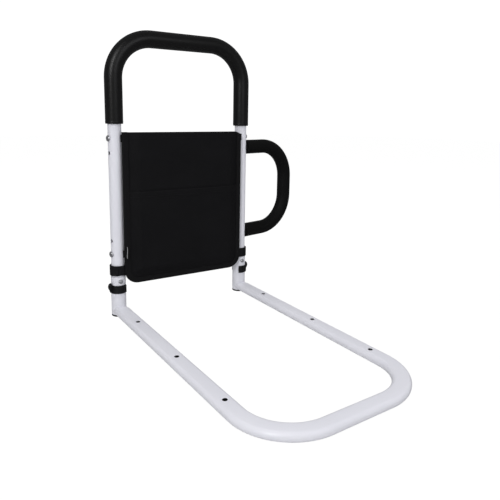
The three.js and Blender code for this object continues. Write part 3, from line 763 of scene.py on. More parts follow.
def sleeve(start, end, outer, bore, step=0.004, ring=True, lip=0.0009):
    """The closed profile of a foam sleeve: outside with a raised ring near each end, rounded
    lips and the bore."""
    def swell(distance):
        near = np.minimum(distance - start, end - distance)
        rise = GRIP_RING_RISE * np.exp(-(((near - GRIP_RING_HEIGHT) / 0.0006) ** 2))
        pinch = -0.0003 * np.exp(-(((near - GRIP_RING_HEIGHT + 0.0015) / 0.0005) ** 2))
        return (rise + pinch) * ring

    near_end = 0.007
    fine = np.linspace(lip, near_end, 22)
    plain = np.arange(start + near_end, end - near_end, step)
    along = np.unique(np.concatenate([start + fine, end - fine, plain]))
    outside = np.stack([along, outer + swell(along)], -1)
    inside = np.stack([along[::-6], bore + 0 * along[::-6]], -1)
    return np.concatenate([
        outside,
        rounded(outside[-1], (end, outer - lip)),
        [(end, bore)],
        inside,
        [(start, bore)],
        rounded((start, outer - lip), (start + lip, outer), hollow=True),
    ])


satin_foam = foam("black_satin_foam", 0.24, 0.30)
grip = grid_object(
    "grab_grip",
    turned(handle_at, sleeve(
        GRIP_ENDS[0] - POST_FOOT, handle_length - (GRIP_ENDS[1] - POST_FOOT), GRIP_OUTER, GRIP_BORE,
    )),
    satin_foam, close_rows=True,
)
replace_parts(grip, "grab_handle_grip")


# ---- side handle ----
# A smaller steel tube bent to a C inside its own foam sleeve. Each arm is held to the right post by
# a bolt from the post's inner side, through a plastic saddle into a threaded insert.
SIDE_TUBE_RADIUS = 0.0111
SIDE_TUBE_WALL = 0.0015
SIDE_GRIP_OUTER = SIDE_TUBE_RADIUS + 0.0044
SIDE_BEND = 0.074
SIDE_REACH = 0.141
ARM_START = POST_RADIUS + 0.0034
SIDE_GRIP_REACH = 0.0030  # the foam runs on past the arms' ends, up to the post
SADDLE_RADIUS = 0.0108
WASHER_OUTER = 0.008
WASHER_HEIGHT = 0.0016
SIDE_BOLT_RADIUS = 0.004
HEAD_HEIGHT = 0.0052
HEAD_ACROSS = 0.0130  # between flats
CHAMFER = 0.0006
AXIS_AT = 0.05  # how far along its level path a post's axis stands
arm_way = Vector((math.cos(CROSS_TURN), math.sin(CROSS_TURN), 0))
arm_normal = Vector((-math.sin(CROSS_TURN), math.cos(CROSS_TURN), 0))


def from_post(axis, way, distance, height):
    """A point at a distance from a post's axis, along a level direction."""
    return (axis.x + way.x * distance, axis.y + way.y * distance, height)


def steel():
    """Bright zinc plate: metal with a faint cloudy tone and fine scratches."""
    zinc = Finish("bright_zinc")
    cloud = zinc.noise(0.002, 3.0)
    scratch = zinc.noise(0.0004, 4.0)
    return zinc.surface(
        Base_Color=zinc.mix(cloud, (0.55, 0.56, 0.58, 1), (0.70, 0.70, 0.71, 1)),
        Roughness=cloud * 0.15 + scratch * 0.10 + 0.22,
        Metallic=1.0,
        Normal=zinc.relief(scratch, 0.00001),
    )


def level_path(axis, way, height):
    """A straight level path through a post's axis, from AXIS_AT before it."""
    ends = [from_post(axis, way, reach, height) for reach in (-AXIS_AT, 1 - AXIS_AT)]
    return bent_path(ends, 0.01, (0, 0, 1))[1]


def hexagon(at, profile, flats, facets=96):
    """A hexagonal turning: at each angle the radius is the profile's or the hexagon's, whichever
    is less, so that a cone or dome in the profile chamfers the corners."""
    profile = np.array(profile, float)
    around = np.linspace(0, 2 * math.pi, facets, endpoint=False)
    to_flat = (around + math.pi / 6) % (math.pi / 3) - math.pi / 6
    radius = np.minimum(profile[:, 1][:, None], flats / 2 / np.cos(to_flat)[None, :])
    section = radius[..., None] * np.stack([np.cos(around), np.sin(around)], -1)
    return swept(at, profile[:, :1] + 0 * around, section)


zinc_steel = steel()
side_length, side_at = bent_path(
    [
        from_post(right_axis, arm_way, ARM_START, SIDE_ARMS["upper"]),
        from_post(right_axis, arm_way, SIDE_REACH, SIDE_ARMS["upper"]),
        from_post(right_axis, arm_way, SIDE_REACH, SIDE_ARMS["lower"]),
        from_post(right_axis, arm_way, ARM_START, SIDE_ARMS["lower"]),
    ],
    SIDE_BEND,
    arm_normal,
)
side_sleeve = sleeve(
    -SIDE_GRIP_REACH, side_length + SIDE_GRIP_REACH, SIDE_GRIP_OUTER, SIDE_TUBE_RADIUS + 0.0002,
    step=0.003, ring=False,
)
side_grip = grid_object(
    "side_grip", turned(side_at, side_sleeve, 80), foam("black_matt_foam", 0.46, 0.12),
    close_rows=True,
)
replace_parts(side_grip, "side_handle_grip")
side_wall = tube_wall(
    0, side_length, SIDE_TUBE_RADIUS, SIDE_TUBE_RADIUS - SIDE_TUBE_WALL, step=0.006,
)
side_tube = grid_object(
    "side_tube", turned(side_at, side_wall, 48), white_paint, close_rows=True,
)
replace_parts(side_tube, "side_handle_tube")

for arm_name, height in SIDE_ARMS.items():
    node = "side_handle_" + arm_name
    arm_line = level_path(right_axis, arm_way, height)
    arm_end = AXIS_AT + ARM_START
    saddle = grid_object(arm_name + "_saddle", turned(arm_line, [
        (AXIS_AT, 0.0), (AXIS_AT, SADDLE_RADIUS),
        (arm_end - 0.0010, SADDLE_RADIUS),
        (arm_end - 0.0005, SADDLE_RADIUS - 0.0004),
        (arm_end - SLIP, SADDLE_RADIUS - 0.0010),
        (arm_end - SLIP, 0.0),
    ]), black_plastic)
    post_ends = [(right_axis.x, right_axis.y, height + rise) for rise in (-0.03, 0.03)]
    combined(saddle, rods([post_ends], POST_RADIUS + 0.0002, 96), "DIFFERENCE")
    combined(saddle, rods([across(right_axis, height, 0.04)], SIDE_BOLT_HOLE_RADIUS), "DIFFERENCE")
    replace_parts(saddle, node + "_saddle")

    post_face = AXIS_AT - (POST_RADIUS + SLIP)
    washer = grid_object(arm_name + "_arm_washer", turned(arm_line, tube_wall(
        post_face - WASHER_HEIGHT, post_face, WASHER_OUTER, SIDE_BOLT_HOLE_RADIUS,
        step=0.0004, lip=0.0002,
    ), 64), zinc_steel, close_rows=True)
    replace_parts(washer, node + "_washer")

    under = post_face - WASHER_HEIGHT - SLIP
    corner = HEAD_ACROSS / math.sqrt(3)
    bolt = grid_object(arm_name + "_arm_bolt", hexagon(arm_line, [
        (under - HEAD_HEIGHT, 0.0), (under - HEAD_HEIGHT, 0.45 * HEAD_ACROSS),
        (under - HEAD_HEIGHT + CHAMFER, corner - 0.0003), (under - HEAD_HEIGHT + 2 * CHAMFER, corner),
        (under - 0.0002, corner), (under, corner - 0.0003), (under, SIDE_BOLT_RADIUS),
        (arm_end + 0.014, SIDE_BOLT_RADIUS), (arm_end + 0.015, SIDE_BOLT_RADIUS - 0.001),
        (arm_end + 0.015, 0.0),
    ], HEAD_ACROSS), zinc_steel)
    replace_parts(bolt, node + "_bolt")
    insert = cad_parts[node + "_insert"]
    insert.data.materials.clear()
    insert.data.materials.append(zinc_steel)


# ---- snap buttons and springs ----
# A domed steel pin on a hairpin spring inside each post snaps out through both tubes. It is pressed
# in to free the handle and rides on a body of its own; the spring, whose front leaf bends in with it
# on the real rail, is left fixed in place here.
BUTTON_RADIUS = 0.004
BUTTON_PROUD = 0.0027
DOME_HEIGHT = 0.0020
LEAF = 0.0008
LEAF_WIDTH = 0.008
LEAF_BEND = 0.0024
CREST_INSET = 0.0005  # from the spring's top to its middle line
CREST_LENGTH = 0.0060
leaf_outline = np.array([
    (-0.5, -0.46), (-0.3, -0.5), (0.3, -0.5), (0.5, -0.46),
    (0.5, 0.46), (0.3, 0.5), (-0.3, 0.5), (-0.5, 0.46),
]) * (LEAF, LEAF_WIDTH)
for side_name, axis in SIDES.items():
    tip = SOCKET_RADIUS + BUTTON_PROUD
    foot = axis.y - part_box(side_name + "_snap_button")[1].y
    button_ends = [(axis.x, axis.y - ahead, BUTTON_HEIGHT) for ahead in (0, 1)]
    button_line = bent_path(button_ends, 0.01, (0, 0, 1))[1]
    button = grid_object(side_name + "_button", turned(button_line, np.concatenate([
        [(foot, 0.0), (foot, BUTTON_RADIUS), (tip - DOME_HEIGHT - 0.0002, BUTTON_RADIUS)],
        rounded((tip - DOME_HEIGHT, BUTTON_RADIUS), (tip, 0.0), 12),
    ]), 48), zinc_steel, body=side_name + "_button")
    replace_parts(button, side_name + "_snap_button")

    spring_low, spring_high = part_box(side_name + "_snap_spring")
    front, back = spring_low.y + LEAF / 2, spring_high.y - LEAF / 2
    crest = spring_high.z - CREST_INSET
    spring_length, spring_at = bent_path(
        [
            (axis.x, back, spring_low.z), (axis.x, back, crest),
            (axis.x, back - CREST_LENGTH, crest),
            (axis.x, front, BUTTON_HEIGHT + BUTTON_RADIUS),
            (axis.x, front, BUTTON_HEIGHT - BUTTON_RADIUS),
        ],
        LEAF_BEND, (1, 0, 0),
    )
    leaf_places = np.concatenate([[0], np.linspace(0, spring_length, 120), [spring_length]])
    leaf_scale = np.ones((len(leaf_places), 1, 1))
    leaf_scale[[0, -1]] = 0  # the ends close to a point
    spring = grid_object(
        side_name + "_spring",
        swept(spring_at, leaf_places[:, None] + 0 * leaf_outline[:, 0], leaf_outline * leaf_scale),
        zinc_steel, body=None,
    )
    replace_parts(spring, side_name + "_snap_spring")
    side_name + "_button"
    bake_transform(spring)


# ---- clips ----
# A C-shaped spring clip of black plastic snaps round each socket, ribbed along its band, with a
# thumb lug on its back.
CLIP_HEIGHT = 0.0165
CLIP_WALL = 0.0026
CLIP_WRAP = math.radians(250)
CLIP_MIDDLE = {"left": 0.051, "right": 0.0472}
CLIP_FACING = {"left": math.pi + math.radians(12), "right": 0.0}
LUG_WIDTH = 0.008
RIB_HEIGHT = 0.00045


def clip_band(axis, middle, facing):
    """A ribbed band bent round the tube: at each angle an outline of (radius, height) whose outer
    side carries ribs, the squares of a cosine. It shrinks to a rounded end at both ends."""
    inner = SOCKET_RADIUS + SLIP
    height = np.linspace(-0.5, 0.5, 41)
    edge = 1 - np.clip((np.abs(height) - 0.44) / 0.06, 0, 1) ** 2 * 0.45
    ribs = RIB_HEIGHT * np.cos(height * 2 * math.pi * 3.5) ** 2 * (np.abs(height) < 0.43)
    outer = np.stack([inner + CLIP_WALL * edge - RIB_HEIGHT + ribs, height * CLIP_HEIGHT], -1)
    back = np.stack([inner + 0 * height[::-4], height[::-4] * CLIP_HEIGHT * 0.97], -1)
    outline = np.concatenate([outer, back])
    centre = np.array([inner + CLIP_WALL / 2, 0])
    turn = np.linspace(-1, 1, 97)
    close = np.sqrt(np.clip(1 - np.clip((np.abs(turn) - 0.975) / 0.025, 0, 1) ** 2, 0, 1))
    shape = centre + (outline - centre)[None] * close[:, None, None]
    angle = facing + turn[:, None] * CLIP_WRAP / 2
    return np.stack([
        axis.x + shape[..., 0] * np.cos(angle),
        axis.y + shape[..., 0] * np.sin(angle),
        middle + shape[..., 1],
    ], -1)


def clip_lug(axis, middle, facing):
    """The lug's side outline, carried over its width and drawn in to rounded cheeks."""
    inner = SOCKET_RADIUS + SLIP
    top = CLIP_HEIGHT / 2
    knots = np.array([
        (0.0010, -0.0040), (0.0010, 0.0010), (0.0012, 0.0036), (0.0022, 0.0046), (0.0036, 0.0044),
        (0.0058, 0.0027), (0.0071, 0.0), (0.0076, -0.0035), (0.0069, -0.0068), (0.0048, -0.0105),
        (0.0022, -0.0150), (0.0012, -0.0130),
    ])
    soft = (knots + np.roll(knots, 1, 0)) / 2
    outline = np.stack([soft, (soft + np.roll(soft, -1, 0)) / 2 * 0.3 + knots * 0.7], 1).reshape(-1, 2)
    centre = outline.mean(0)
    turn = np.linspace(-math.pi / 2, math.pi / 2, 15)
    across_lug = np.sin(turn) * LUG_WIDTH / 2
    close = np.clip(np.cos(turn), 0, 1) ** 0.28
    shape = centre + (outline - centre)[None] * close[:, None, None]
    out = inner + shape[..., 0]
    sideways = across_lug[:, None]
    return np.stack([
        axis.x + out * math.cos(facing) - sideways * math.sin(facing),
        axis.y + out * math.sin(facing) + sideways * math.cos(facing),
        middle + top + shape[..., 1],
    ], -1)


for side_name, axis in SIDES.items():
    place = (axis, CLIP_MIDDLE[side_name], CLIP_FACING[side_name])
    clip = grid_object(side_name + "_clip", clip_band(*place), black_plastic)
    lug = grid_object("lug", clip_lug(*place), black_plastic)
    combined(clip, lug.data.copy(), "UNION")
    bpy.data.objects.remove(lug)
    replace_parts(clip, side_name + "_socket_clip")


# ---- pouch panels ----
# Close-woven black polyester: a flat back panel, a front panel with some depth and an open hemmed
# mouth, and a patch pocket over its lower part. All three are sewn together at the sides and bottom.
POUCH_HALF = 0.1328
POUCH_SHIFT = -0.0012
POUCH_SKEW = 0.0035  # how much higher the lower left corner hangs
CORNER_PULL = 0.0030
CORNER_PULL_OVER = 0.013
PANEL_INSET = 0.0014
POUCH_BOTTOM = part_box("pouch_binding")[0].z
POUCH_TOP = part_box("pouch_back_panel")[1].z
POUCH_CORNER = 0.028
CLOTH = 0.0009
BACK_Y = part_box("pouch_back_panel")[1].y - 0.0011
SEAM_Y = BACK_Y - 0.0011
FRONT_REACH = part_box("pouch_front_panel")[0].y - SEAM_Y + 0.0010  # negative: towards the front
SEAM_FLAT = 0.0115
SEAM_RISE = 0.022
POCKET_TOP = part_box("pouch_pocket_panel")[1].z
POCKET_GAP = 0.0011
HEM_DEPTH = 0.013
HEM_STEP = 0.0004


def weave(finish, pitch):
    """Height of a plain weave on the UV map, in metres of pitch: yarns cross over and under, which
    is the product of two sines, and each yarn is round, which is the size of a sine."""
    uv = finish.node("ShaderNodeUVMap", {"uv_map": "UVMap"}, {})
    parts = finish.node("ShaderNodeSeparateXYZ", {}, {0: uv})
    u = parts * (math.pi / pitch)
    v = Value(finish, parts.socket.node.outputs[1]) * (math.pi / pitch)
    over = u.sine() * v.sine() * 0.5 + 0.5
    return u.sine().size() * over + v.sine().size() * (1 - over)


def polyester():
    """Black woven polyester: fine plain weave, broad changes of tone and a soft sheen."""
    cloth = Finish("black_polyester")
    yarns = weave(cloth, 0.0006)
    tone = cloth.noise(0.06, 3.0)
    slub = cloth.noise(0.0025, 2.0)
    return cloth.surface(
        Base_Color=cloth.mix(
            tone * 0.5 + yarns * 0.35 + slub * 0.15,
            (0.0040, 0.0040, 0.0045, 1), (0.0092, 0.0090, 0.0100, 1),
        ),
        Roughness=slub * 0.12 + 0.62,
        Normal=cloth.relief(yarns * 0.8 + slub * 0.2, 0.00010),
        Specular_IOR_Level=0.08,
    )


def panel_grid(inset, top, columns, rows):
    """Places (x, z) over a panel: level rows, as wide as the outline with its two round lower
    corners is at that height. The rows crowd together towards the bottom."""
    share = np.linspace(0, 1, rows)[:, None]
    bottom = POUCH_BOTTOM + inset
    z = bottom + (top - bottom) * (0.35 * share**2 + 0.65 * share) ** 1.25
    radius = POUCH_CORNER - min(inset, POUCH_CORNER / 2)
    low = np.clip(radius - (z - bottom), 0, radius)
    half = POUCH_HALF - inset - radius + np.sqrt(radius**2 - low**2)
    x = half * np.linspace(-1, 1, columns)[None, :]
    return x, z + 0 * x


def edge_distance(x, z):
    """Distance in from the pouch's sides and bottom, measured round the lower corners."""
    aside = POUCH_HALF - np.abs(x)
    above = z - POUCH_BOTTOM
    corner = POUCH_CORNER - np.hypot(
        np.clip(POUCH_CORNER - aside, 0, None), np.clip(POUCH_CORNER - above, 0, None),
    )
    return np.where((aside < POUCH_CORNER) & (above < POUCH_CORNER), corner, np.minimum(aside, above))


def bell(value, middle, width):
    """exp of minus the squared distance from the middle, in widths."""
    return np.exp(-(((value - middle) / width) ** 2))


def front_depth(x, z):
    """How far the front panel stands out: flat in the seam allowance, a smooth rise to full depth,
    a slight sag low down, soft pulls from the strap ends and faint level creases."""
    rise = smooth_step((edge_distance(x, z) - SEAM_FLAT) / SEAM_RISE)
    height = (z - POUCH_BOTTOM) / (POUCH_TOP - POUCH_BOTTOM)
    fill = 0.78 + 0.16 * bell(height, 0.30, 0.28) - 0.10 * smooth_step((height - 0.8) / 0.2)
    folds = 0.00035 * np.sin(z * 150 + 9 * x + 2.5 * np.sin(x * 21)) * bell(height, 0.86, 0.12)
    for side in (-1, 1):
        pull = bell(x, side * 0.100, 0.035) * bell(z, 0.090, 0.030)
        folds += 0.00030 * np.sin((z - side * 0.35 * x) * 175) * pull
    folds += 0.0006 * np.sin(x * 31 + 1.3) * np.sin(z * 23 + 0.4)
    return FRONT_REACH * rise * fill + folds * rise


def hem(z, top):
    """The cloth is doubled over along a mouth: it stands out by a step down to the hem's depth."""
    return -HEM_STEP * smooth_step((z - (top - HEM_DEPTH)) / 0.0008)


def front_face(x, z):
    """Depth of the front panel's middle, at places x, z."""
    return SEAM_Y + front_depth(x, z) + hem(z, POUCH_TOP)


def pocket_face(x, z):
    """Depth of the pocket's middle: it lies on the front panel, and its mouth gapes a little."""
    gape = 0.0008 * np.cos(x / POUCH_HALF * math.pi / 2) * smooth_step((z - POCKET_TOP + 0.06) / 0.06)
    return SEAM_Y + front_depth(x, z) - POCKET_GAP - gape + hem(z, POCKET_TOP)


def hung(piece):
    """Moves a pouch piece the way the pouch hangs: a little towards the left post, its lower edge
    rising to the left by less and less up to its level top, and its upper right corner drawn in."""
    places = np.empty(3 * len(piece.data.vertices))
    piece.data.vertices.foreach_get("co", places)
    places = places.reshape(-1, 3)
    leftward = (POUCH_HALF - places[:, 0]) / (2 * POUCH_HALF)
    low = (POUCH_TOP - places[:, 2]) / (POUCH_TOP - POUCH_BOTTOM)
    corner = smooth_step((places[:, 2] - POUCH_TOP) / CORNER_PULL_OVER + 1)
    corner = corner * smooth_step((places[:, 0] - POUCH_HALF) / CORNER_PULL_OVER + 1)
    places[:, 2] += POUCH_SKEW * leftward * low - CORNER_PULL * corner
    places[:, 0] += POUCH_SHIFT - CORNER_PULL * corner
    piece.data.vertices.foreach_set("co", places.ravel())
    return piece


def cloth_panel(name, x, y, z, node):
    """A panel of cloth on a grid of places, with its flat cut as its UV map and a wall of cloth."""
    piece = grid_object(
        name, np.stack([x, y, z], -1), pouch_fabric, close_columns=False,
        uv=np.stack([x, z], -1),
    )
    wall = piece.modifiers.new("cloth", "SOLIDIFY")
    wall.thickness = CLOTH
    wall.offset = 0
    wall.use_even_offset = True
    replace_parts(hung(piece), node)
    return piece


pouch_fabric = polyester()
back_x, back_z = panel_grid(PANEL_INSET, POUCH_TOP, 80, 90)
back_wave = 0.00015 * np.sin(back_x * 60) * np.sin(back_z * 45)
back_y = BACK_Y + back_wave - hem(back_z, POUCH_TOP) * 0.5
back_panel = cloth_panel("pouch_back", back_x, back_y, back_z, "pouch_back_panel")
front_x, front_z = panel_grid(PANEL_INSET, POUCH_TOP - 0.0006, 130, 150)
front_y = front_face(front_x, front_z)
front_panel = cloth_panel("pouch_front", front_x, front_y, front_z, "pouch_front_panel")
pocket_x, pocket_z = panel_grid(PANEL_INSET, POCKET_TOP, 130, 110)
pocket_y = pocket_face(pocket_x, pocket_z)
pocket = cloth_panel("pouch_pocket", pocket_x, pocket_y, pocket_z, "pouch_pocket_panel")


# ---- pouch binding and stitching ----
# Grosgrain tape folded over the pouch's raw edges, down one side, round the bottom and up the
# other, and sewn through. The mouths and the tape are stitched in black thread.
TAPE = 0.0007
TAPE_WIDTH = 0.0115
TAPE_EDGE = 0.0013
STITCH_PITCH = 0.0031
STITCH_LENGTH = 0.0024
STITCH_RADIUS = 0.00024
TAPE_STITCH = 0.0022  # from the tape's inner edge to its stitching
MOUTH_STITCH = 0.0026  # from a mouth down to its upper stitching
HEM_STITCH = 0.0020  # from a hem's lower edge up to its stitching, and from the pocket's mouth
STACK_BACK = BACK_Y + 0.0006
STACK_FRONT = SEAM_Y - POCKET_GAP - 0.0006


def grosgrain():
    """Black ribbed tape: fine cross ribs on the UV map, slightly lighter on their crests."""
    tape = Finish("black_grosgrain")
    uv = tape.node("ShaderNodeUVMap", {"uv_map": "UVMap"}, {})
    ribs = (tape.node("ShaderNodeSeparateXYZ", {}, {0: uv}) * (math.pi / 0.0009)).sine().size()
    fuzz = tape.noise(0.0012, 3.0)
    return tape.surface(
        Base_Color=tape.mix(
            ribs * 0.6 + fuzz * 0.4, (0.0035, 0.0035, 0.0038, 1), (0.0085, 0.0083, 0.0092, 1),
        ),
        Roughness=fuzz * 0.15 + 0.58,
        Normal=tape.relief(ribs * 0.8 + fuzz * 0.2, 0.00014),
        Specular_IOR_Level=0.12,
    )


def tape_section(distance):
    """A folded tape: front leaf, round edge and back leaf outside, and the same inside by the
    tape's thickness. Its inner edge wavers a little along the pouch, and it dips at the stitches."""
    turn = np.linspace(-math.pi / 2, math.pi / 2, 13)
    half = (STACK_BACK - STACK_FRONT) / 2 + TAPE
    leaf = np.linspace(0, 1, 12)

    def leaves(thin, reach):
        flat = -reach + (reach - TAPE_EDGE) * leaf
        dip = 0.00025 * bell(flat, -TAPE_WIDTH + TAPE_STITCH, 0.0007) * (thin == 0)
        front = np.stack([flat, -(half - thin) + dip], -1)
        back = np.stack([flat[::-1], (half - thin) - dip[::-1]], -1)
        edge = np.stack([
            -TAPE_EDGE + (TAPE_EDGE - thin * 0.8) * np.cos(turn), (half - thin) * np.sin(turn),
        ], -1)
        return np.concatenate([front, edge[1:-1], back])

    outline = np.concatenate([leaves(0.0, TAPE_WIDTH), leaves(TAPE, TAPE_WIDTH)[::-1]])
    waver = 1 + 0.03 * np.sin(distance * 97) + 0.02 * np.sin(distance * 241 + 1)
    section = np.repeat(outline[None], len(distance), 0)
    inner = smooth_step((-section[..., 0] - TAPE_WIDTH / 2) / (TAPE_WIDTH / 2))
    section[..., 0] *= 1 + inner * (waver[:, None] - 1)
    return section


def capped(piece):
    """Closes the open ends of a swept piece."""
    shape = bmesh.new()
    shape.from_mesh(piece.data)
    bmesh.ops.holes_fill(shape, edges=[edge for edge in shape.edges if edge.is_boundary], sides=0)
    bmesh.ops.recalc_face_normals(shape, faces=shape.faces)
    shape.to_mesh(piece.data)
    shape.free()
    smooth(piece.data)
    return piece


def strip_uv(distance, outline_length, columns):
    """UV of a swept strip: distance along it, and distance round its section, in metres."""
    around = np.linspace(0, outline_length, columns + 1)
    return np.stack([distance[:, None] + 0 * around, around[None, :] + 0 * distance[:, None]], -1)


def stitches(name, line, out):
    """A row of raised stitches along a line of points: small spindles, whose radius along their
    length is the stitch's times a sine to the power 0.6, laid along the line, half in the cloth."""
    rings = facets = 6
    line = np.array(line, float)
    out = np.array(out, float)
    steps = np.linalg.norm(np.diff(line, axis=0), axis=1)
    reach = np.concatenate([[0], np.cumsum(steps)])
    middles = np.arange(STITCH_PITCH / 2, reach[-1] - STITCH_PITCH / 2, STITCH_PITCH)
    ends = [
        np.stack([np.interp(middles + half, reach, line[:, k]) for k in range(3)], -1)
        for half in (-STITCH_LENGTH / 2, STITCH_LENGTH / 2)
    ]
    way = ends[1] - ends[0]
    way /= np.linalg.norm(way, axis=1)[:, None]
    aside = np.cross(out, way)
    along = np.linspace(0, math.pi, rings)
    around = np.linspace(0, 2 * math.pi, facets, endpoint=False)
    radius = STITCH_RADIUS * np.sin(along) ** 0.6
    spindle = np.stack([
        np.repeat(-np.cos(along)[:, None] * STITCH_LENGTH / 2, facets, 1),
        radius[:, None] * np.cos(around),
        radius[:, None] * np.sin(around),
    ], -1).reshape(-1, 3)
    middle = (ends[0] + ends[1]) / 2
    points = (
        middle[:, None] + spindle[None, :, :1] * way[:, None]
        + spindle[None, :, 1:2] * aside[:, None] + spindle[None, :, 2:] * out
    )
    index = np.arange(rings * facets).reshape(rings, facets)
    quads = cells_of(np.hstack([index, index[:, :1]])).reshape(-1, 4)
    first = rings * facets * np.arange(len(middles))
    faces = (quads[None] + first[:, None, None]).reshape(-1, 4)
    mesh = bpy.data.meshes.new(name)
    mesh.from_pydata(points.reshape(-1, 3).tolist(), [], faces.tolist())
    return hung(finished(name, mesh, thread, "rail"))


def sewing_thread():
    """Black polyester thread: a fine twist and a little more gloss than the cloth."""
    twist = Finish("black_thread")
    fibres = twist.noise(0.0003, 2.0)
    return twist.surface(
        Base_Color=twist.mix(fibres, grey(0.0070), grey(0.0140)),
        Roughness=fibres * 0.15 + 0.45,
        Normal=twist.relief(fibres, 0.00005),
        Specular_IOR_Level=0.15,
    )


binding_tape = grosgrain()
thread = sewing_thread()
tape_length, tape_at = bent_path(
    [
        (-POUCH_HALF, (STACK_BACK + STACK_FRONT) / 2, POUCH_TOP + 0.0004),
        (-POUCH_HALF, (STACK_BACK + STACK_FRONT) / 2, POUCH_BOTTOM),
        (POUCH_HALF, (STACK_BACK + STACK_FRONT) / 2, POUCH_BOTTOM),
        (POUCH_HALF, (STACK_BACK + STACK_FRONT) / 2, POUCH_TOP + 0.0004),
    ],
    POUCH_CORNER,
    (0, 1, 0),
)
tape_places = np.arange(0, tape_length, 0.0025)
tape_outline = tape_section(tape_places)
binding = capped(grid_object(
    "pouch_binding_tape",
    swept(tape_at, tape_places[:, None] + 0 * tape_outline[..., 0], tape_outline),
    binding_tape,
    uv=strip_uv(tape_places, 4 * TAPE_WIDTH, tape_outline.shape[1]),
))
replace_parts(hung(binding), "pouch_binding")

FRONTWARD = (0, -1, 0)
BACKWARD = (0, 1, 0)
tape_row = tape_places[:, None]
stitch_inset = np.full_like(tape_row, -(TAPE_WIDTH - TAPE_STITCH))
stitch_depth = (STACK_BACK - STACK_FRONT) / 2 + TAPE - 0.0003
for name, depth, way in (("front", -stitch_depth, FRONTWARD), ("back", stitch_depth, BACKWARD)):
    offsets = np.stack([stitch_inset, np.full_like(tape_row, depth)], -1)
    stitches("binding_stitches_" + name, swept(tape_at, tape_row, offsets)[:, 0], way)
across_mouth = np.linspace(-POUCH_HALF + 0.012, POUCH_HALF - 0.012, 200)
for name, panel_face, height in (
    ("pocket_mouth_upper", pocket_face, POCKET_TOP - HEM_STITCH),
    ("pocket_mouth_lower", pocket_face, POCKET_TOP - HEM_DEPTH + HEM_STITCH),
    ("mouth_upper", front_face, POUCH_TOP - MOUTH_STITCH),
    ("mouth_lower", front_face, POUCH_TOP - HEM_DEPTH + HEM_STITCH),
):
    level = np.full_like(across_mouth, height)
    surface_y = panel_face(across_mouth, level) - CLOTH / 2 - 0.00005
    stitches(name + "_stitches", np.stack([across_mouth, surface_y, level], -1), FRONTWARD)
for name, height in (
    ("upper", POUCH_TOP - MOUTH_STITCH),
    ("lower", POUCH_TOP - HEM_DEPTH + HEM_STITCH),
):
    level = np.full_like(across_mouth, height)
    surface_y = 0 * level + BACK_Y + CLOTH / 2 + 0.0003
    stitches(
        "back_mouth_" + name + "_stitches", np.stack([across_mouth, surface_y, level], -1), BACKWARD,
    )


# ---- webbing straps ----
# Ribbed black webbing sewn behind the pouch's lower corners. Each goes once round its post and
# doubles back on itself, held by hook and loop.
WEBBING = 0.0015
STRAP_WIDTH = 0.020
STRAP_TAIL = 0.040
STRAP_MIDDLE = {"left": 0.089, "right": 0.087}
STRAP_LAP = (250, -40)  # degrees round the left post, anticlockwise from above


def webbing():
    """Black webbing: twill-like cross threads on the UV map, dull, lighter on the ribs."""
    web = Finish("black_webbing")
    yarns = weave(web, 0.0010)
    fuzz = web.noise(0.0010, 3.0)
    worn = web.noise(0.015, 3.0)
    return web.surface(
        Base_Color=web.mix(
            yarns * 0.45 + fuzz * 0.25 + worn * 0.3,
            (0.0040, 0.0040, 0.0045, 1), (0.0125, 0.0122, 0.0138, 1),
        ),
        Roughness=fuzz * 0.15 + 0.55,
        Normal=web.relief(yarns * 0.75 + fuzz * 0.25, 0.00018),
        Specular_IOR_Level=0.13,
    )


def drawn_path(points, normal):
    """A smooth line through many points of one plane, as bent_path gives it: places by
    interpolation, and directions from the neighbouring points."""
    points = np.array(points, float)
    steps = np.linalg.norm(np.diff(points, axis=0), axis=1)
    reach = np.concatenate([[0], np.cumsum(steps)])
    ways = np.gradient(points, reach, axis=0)
    ways /= np.linalg.norm(ways, axis=1)[:, None]

    def at(distance):
        place = np.stack([np.interp(distance, reach, points[:, k]) for k in range(3)], -1)
        way = np.stack([np.interp(distance, reach, ways[:, k]) for k in range(3)], -1)
        way /= np.linalg.norm(way, axis=-1)[..., None]
        return place, np.cross(normal, way), np.array(normal, float)

    return reach[-1], at


def webbing_section(width, ribs, thickness=WEBBING):
    """A flat strip with raised lengthwise ribs on both faces and rounded selvedges."""
    height = np.linspace(-1, 1, 49)
    body = thickness / 2 * (0.80 + 0.20 * np.cos(height * math.pi * ribs) ** 2)
    body *= np.sqrt(np.clip(1 - np.clip((np.abs(height) - 0.94) / 0.06, 0, 1) ** 2, 0.02, 1))
    face = np.stack([body, height * width / 2], -1)
    back = np.stack([-body[::-1], height[::-1] * width / 2], -1)
    return np.concatenate([face, back])


def strip(name, points, width, ribs, node, step=0.0008):
    """Webbing along a level line of points, standing on edge."""
    length, at = drawn_path(points, (0, 0, 1))
    distance = np.linspace(0, length, int(length / step))
    outline = webbing_section(width, ribs)
    section = np.repeat(outline[None], len(distance), 0)
    piece = capped(grid_object(
        name, swept(at, distance[:, None] + 0 * section[..., 0], section), web_fabric,
        uv=strip_uv(distance, 2 * width, len(outline)),
    ))
    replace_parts(piece, node)
    return piece


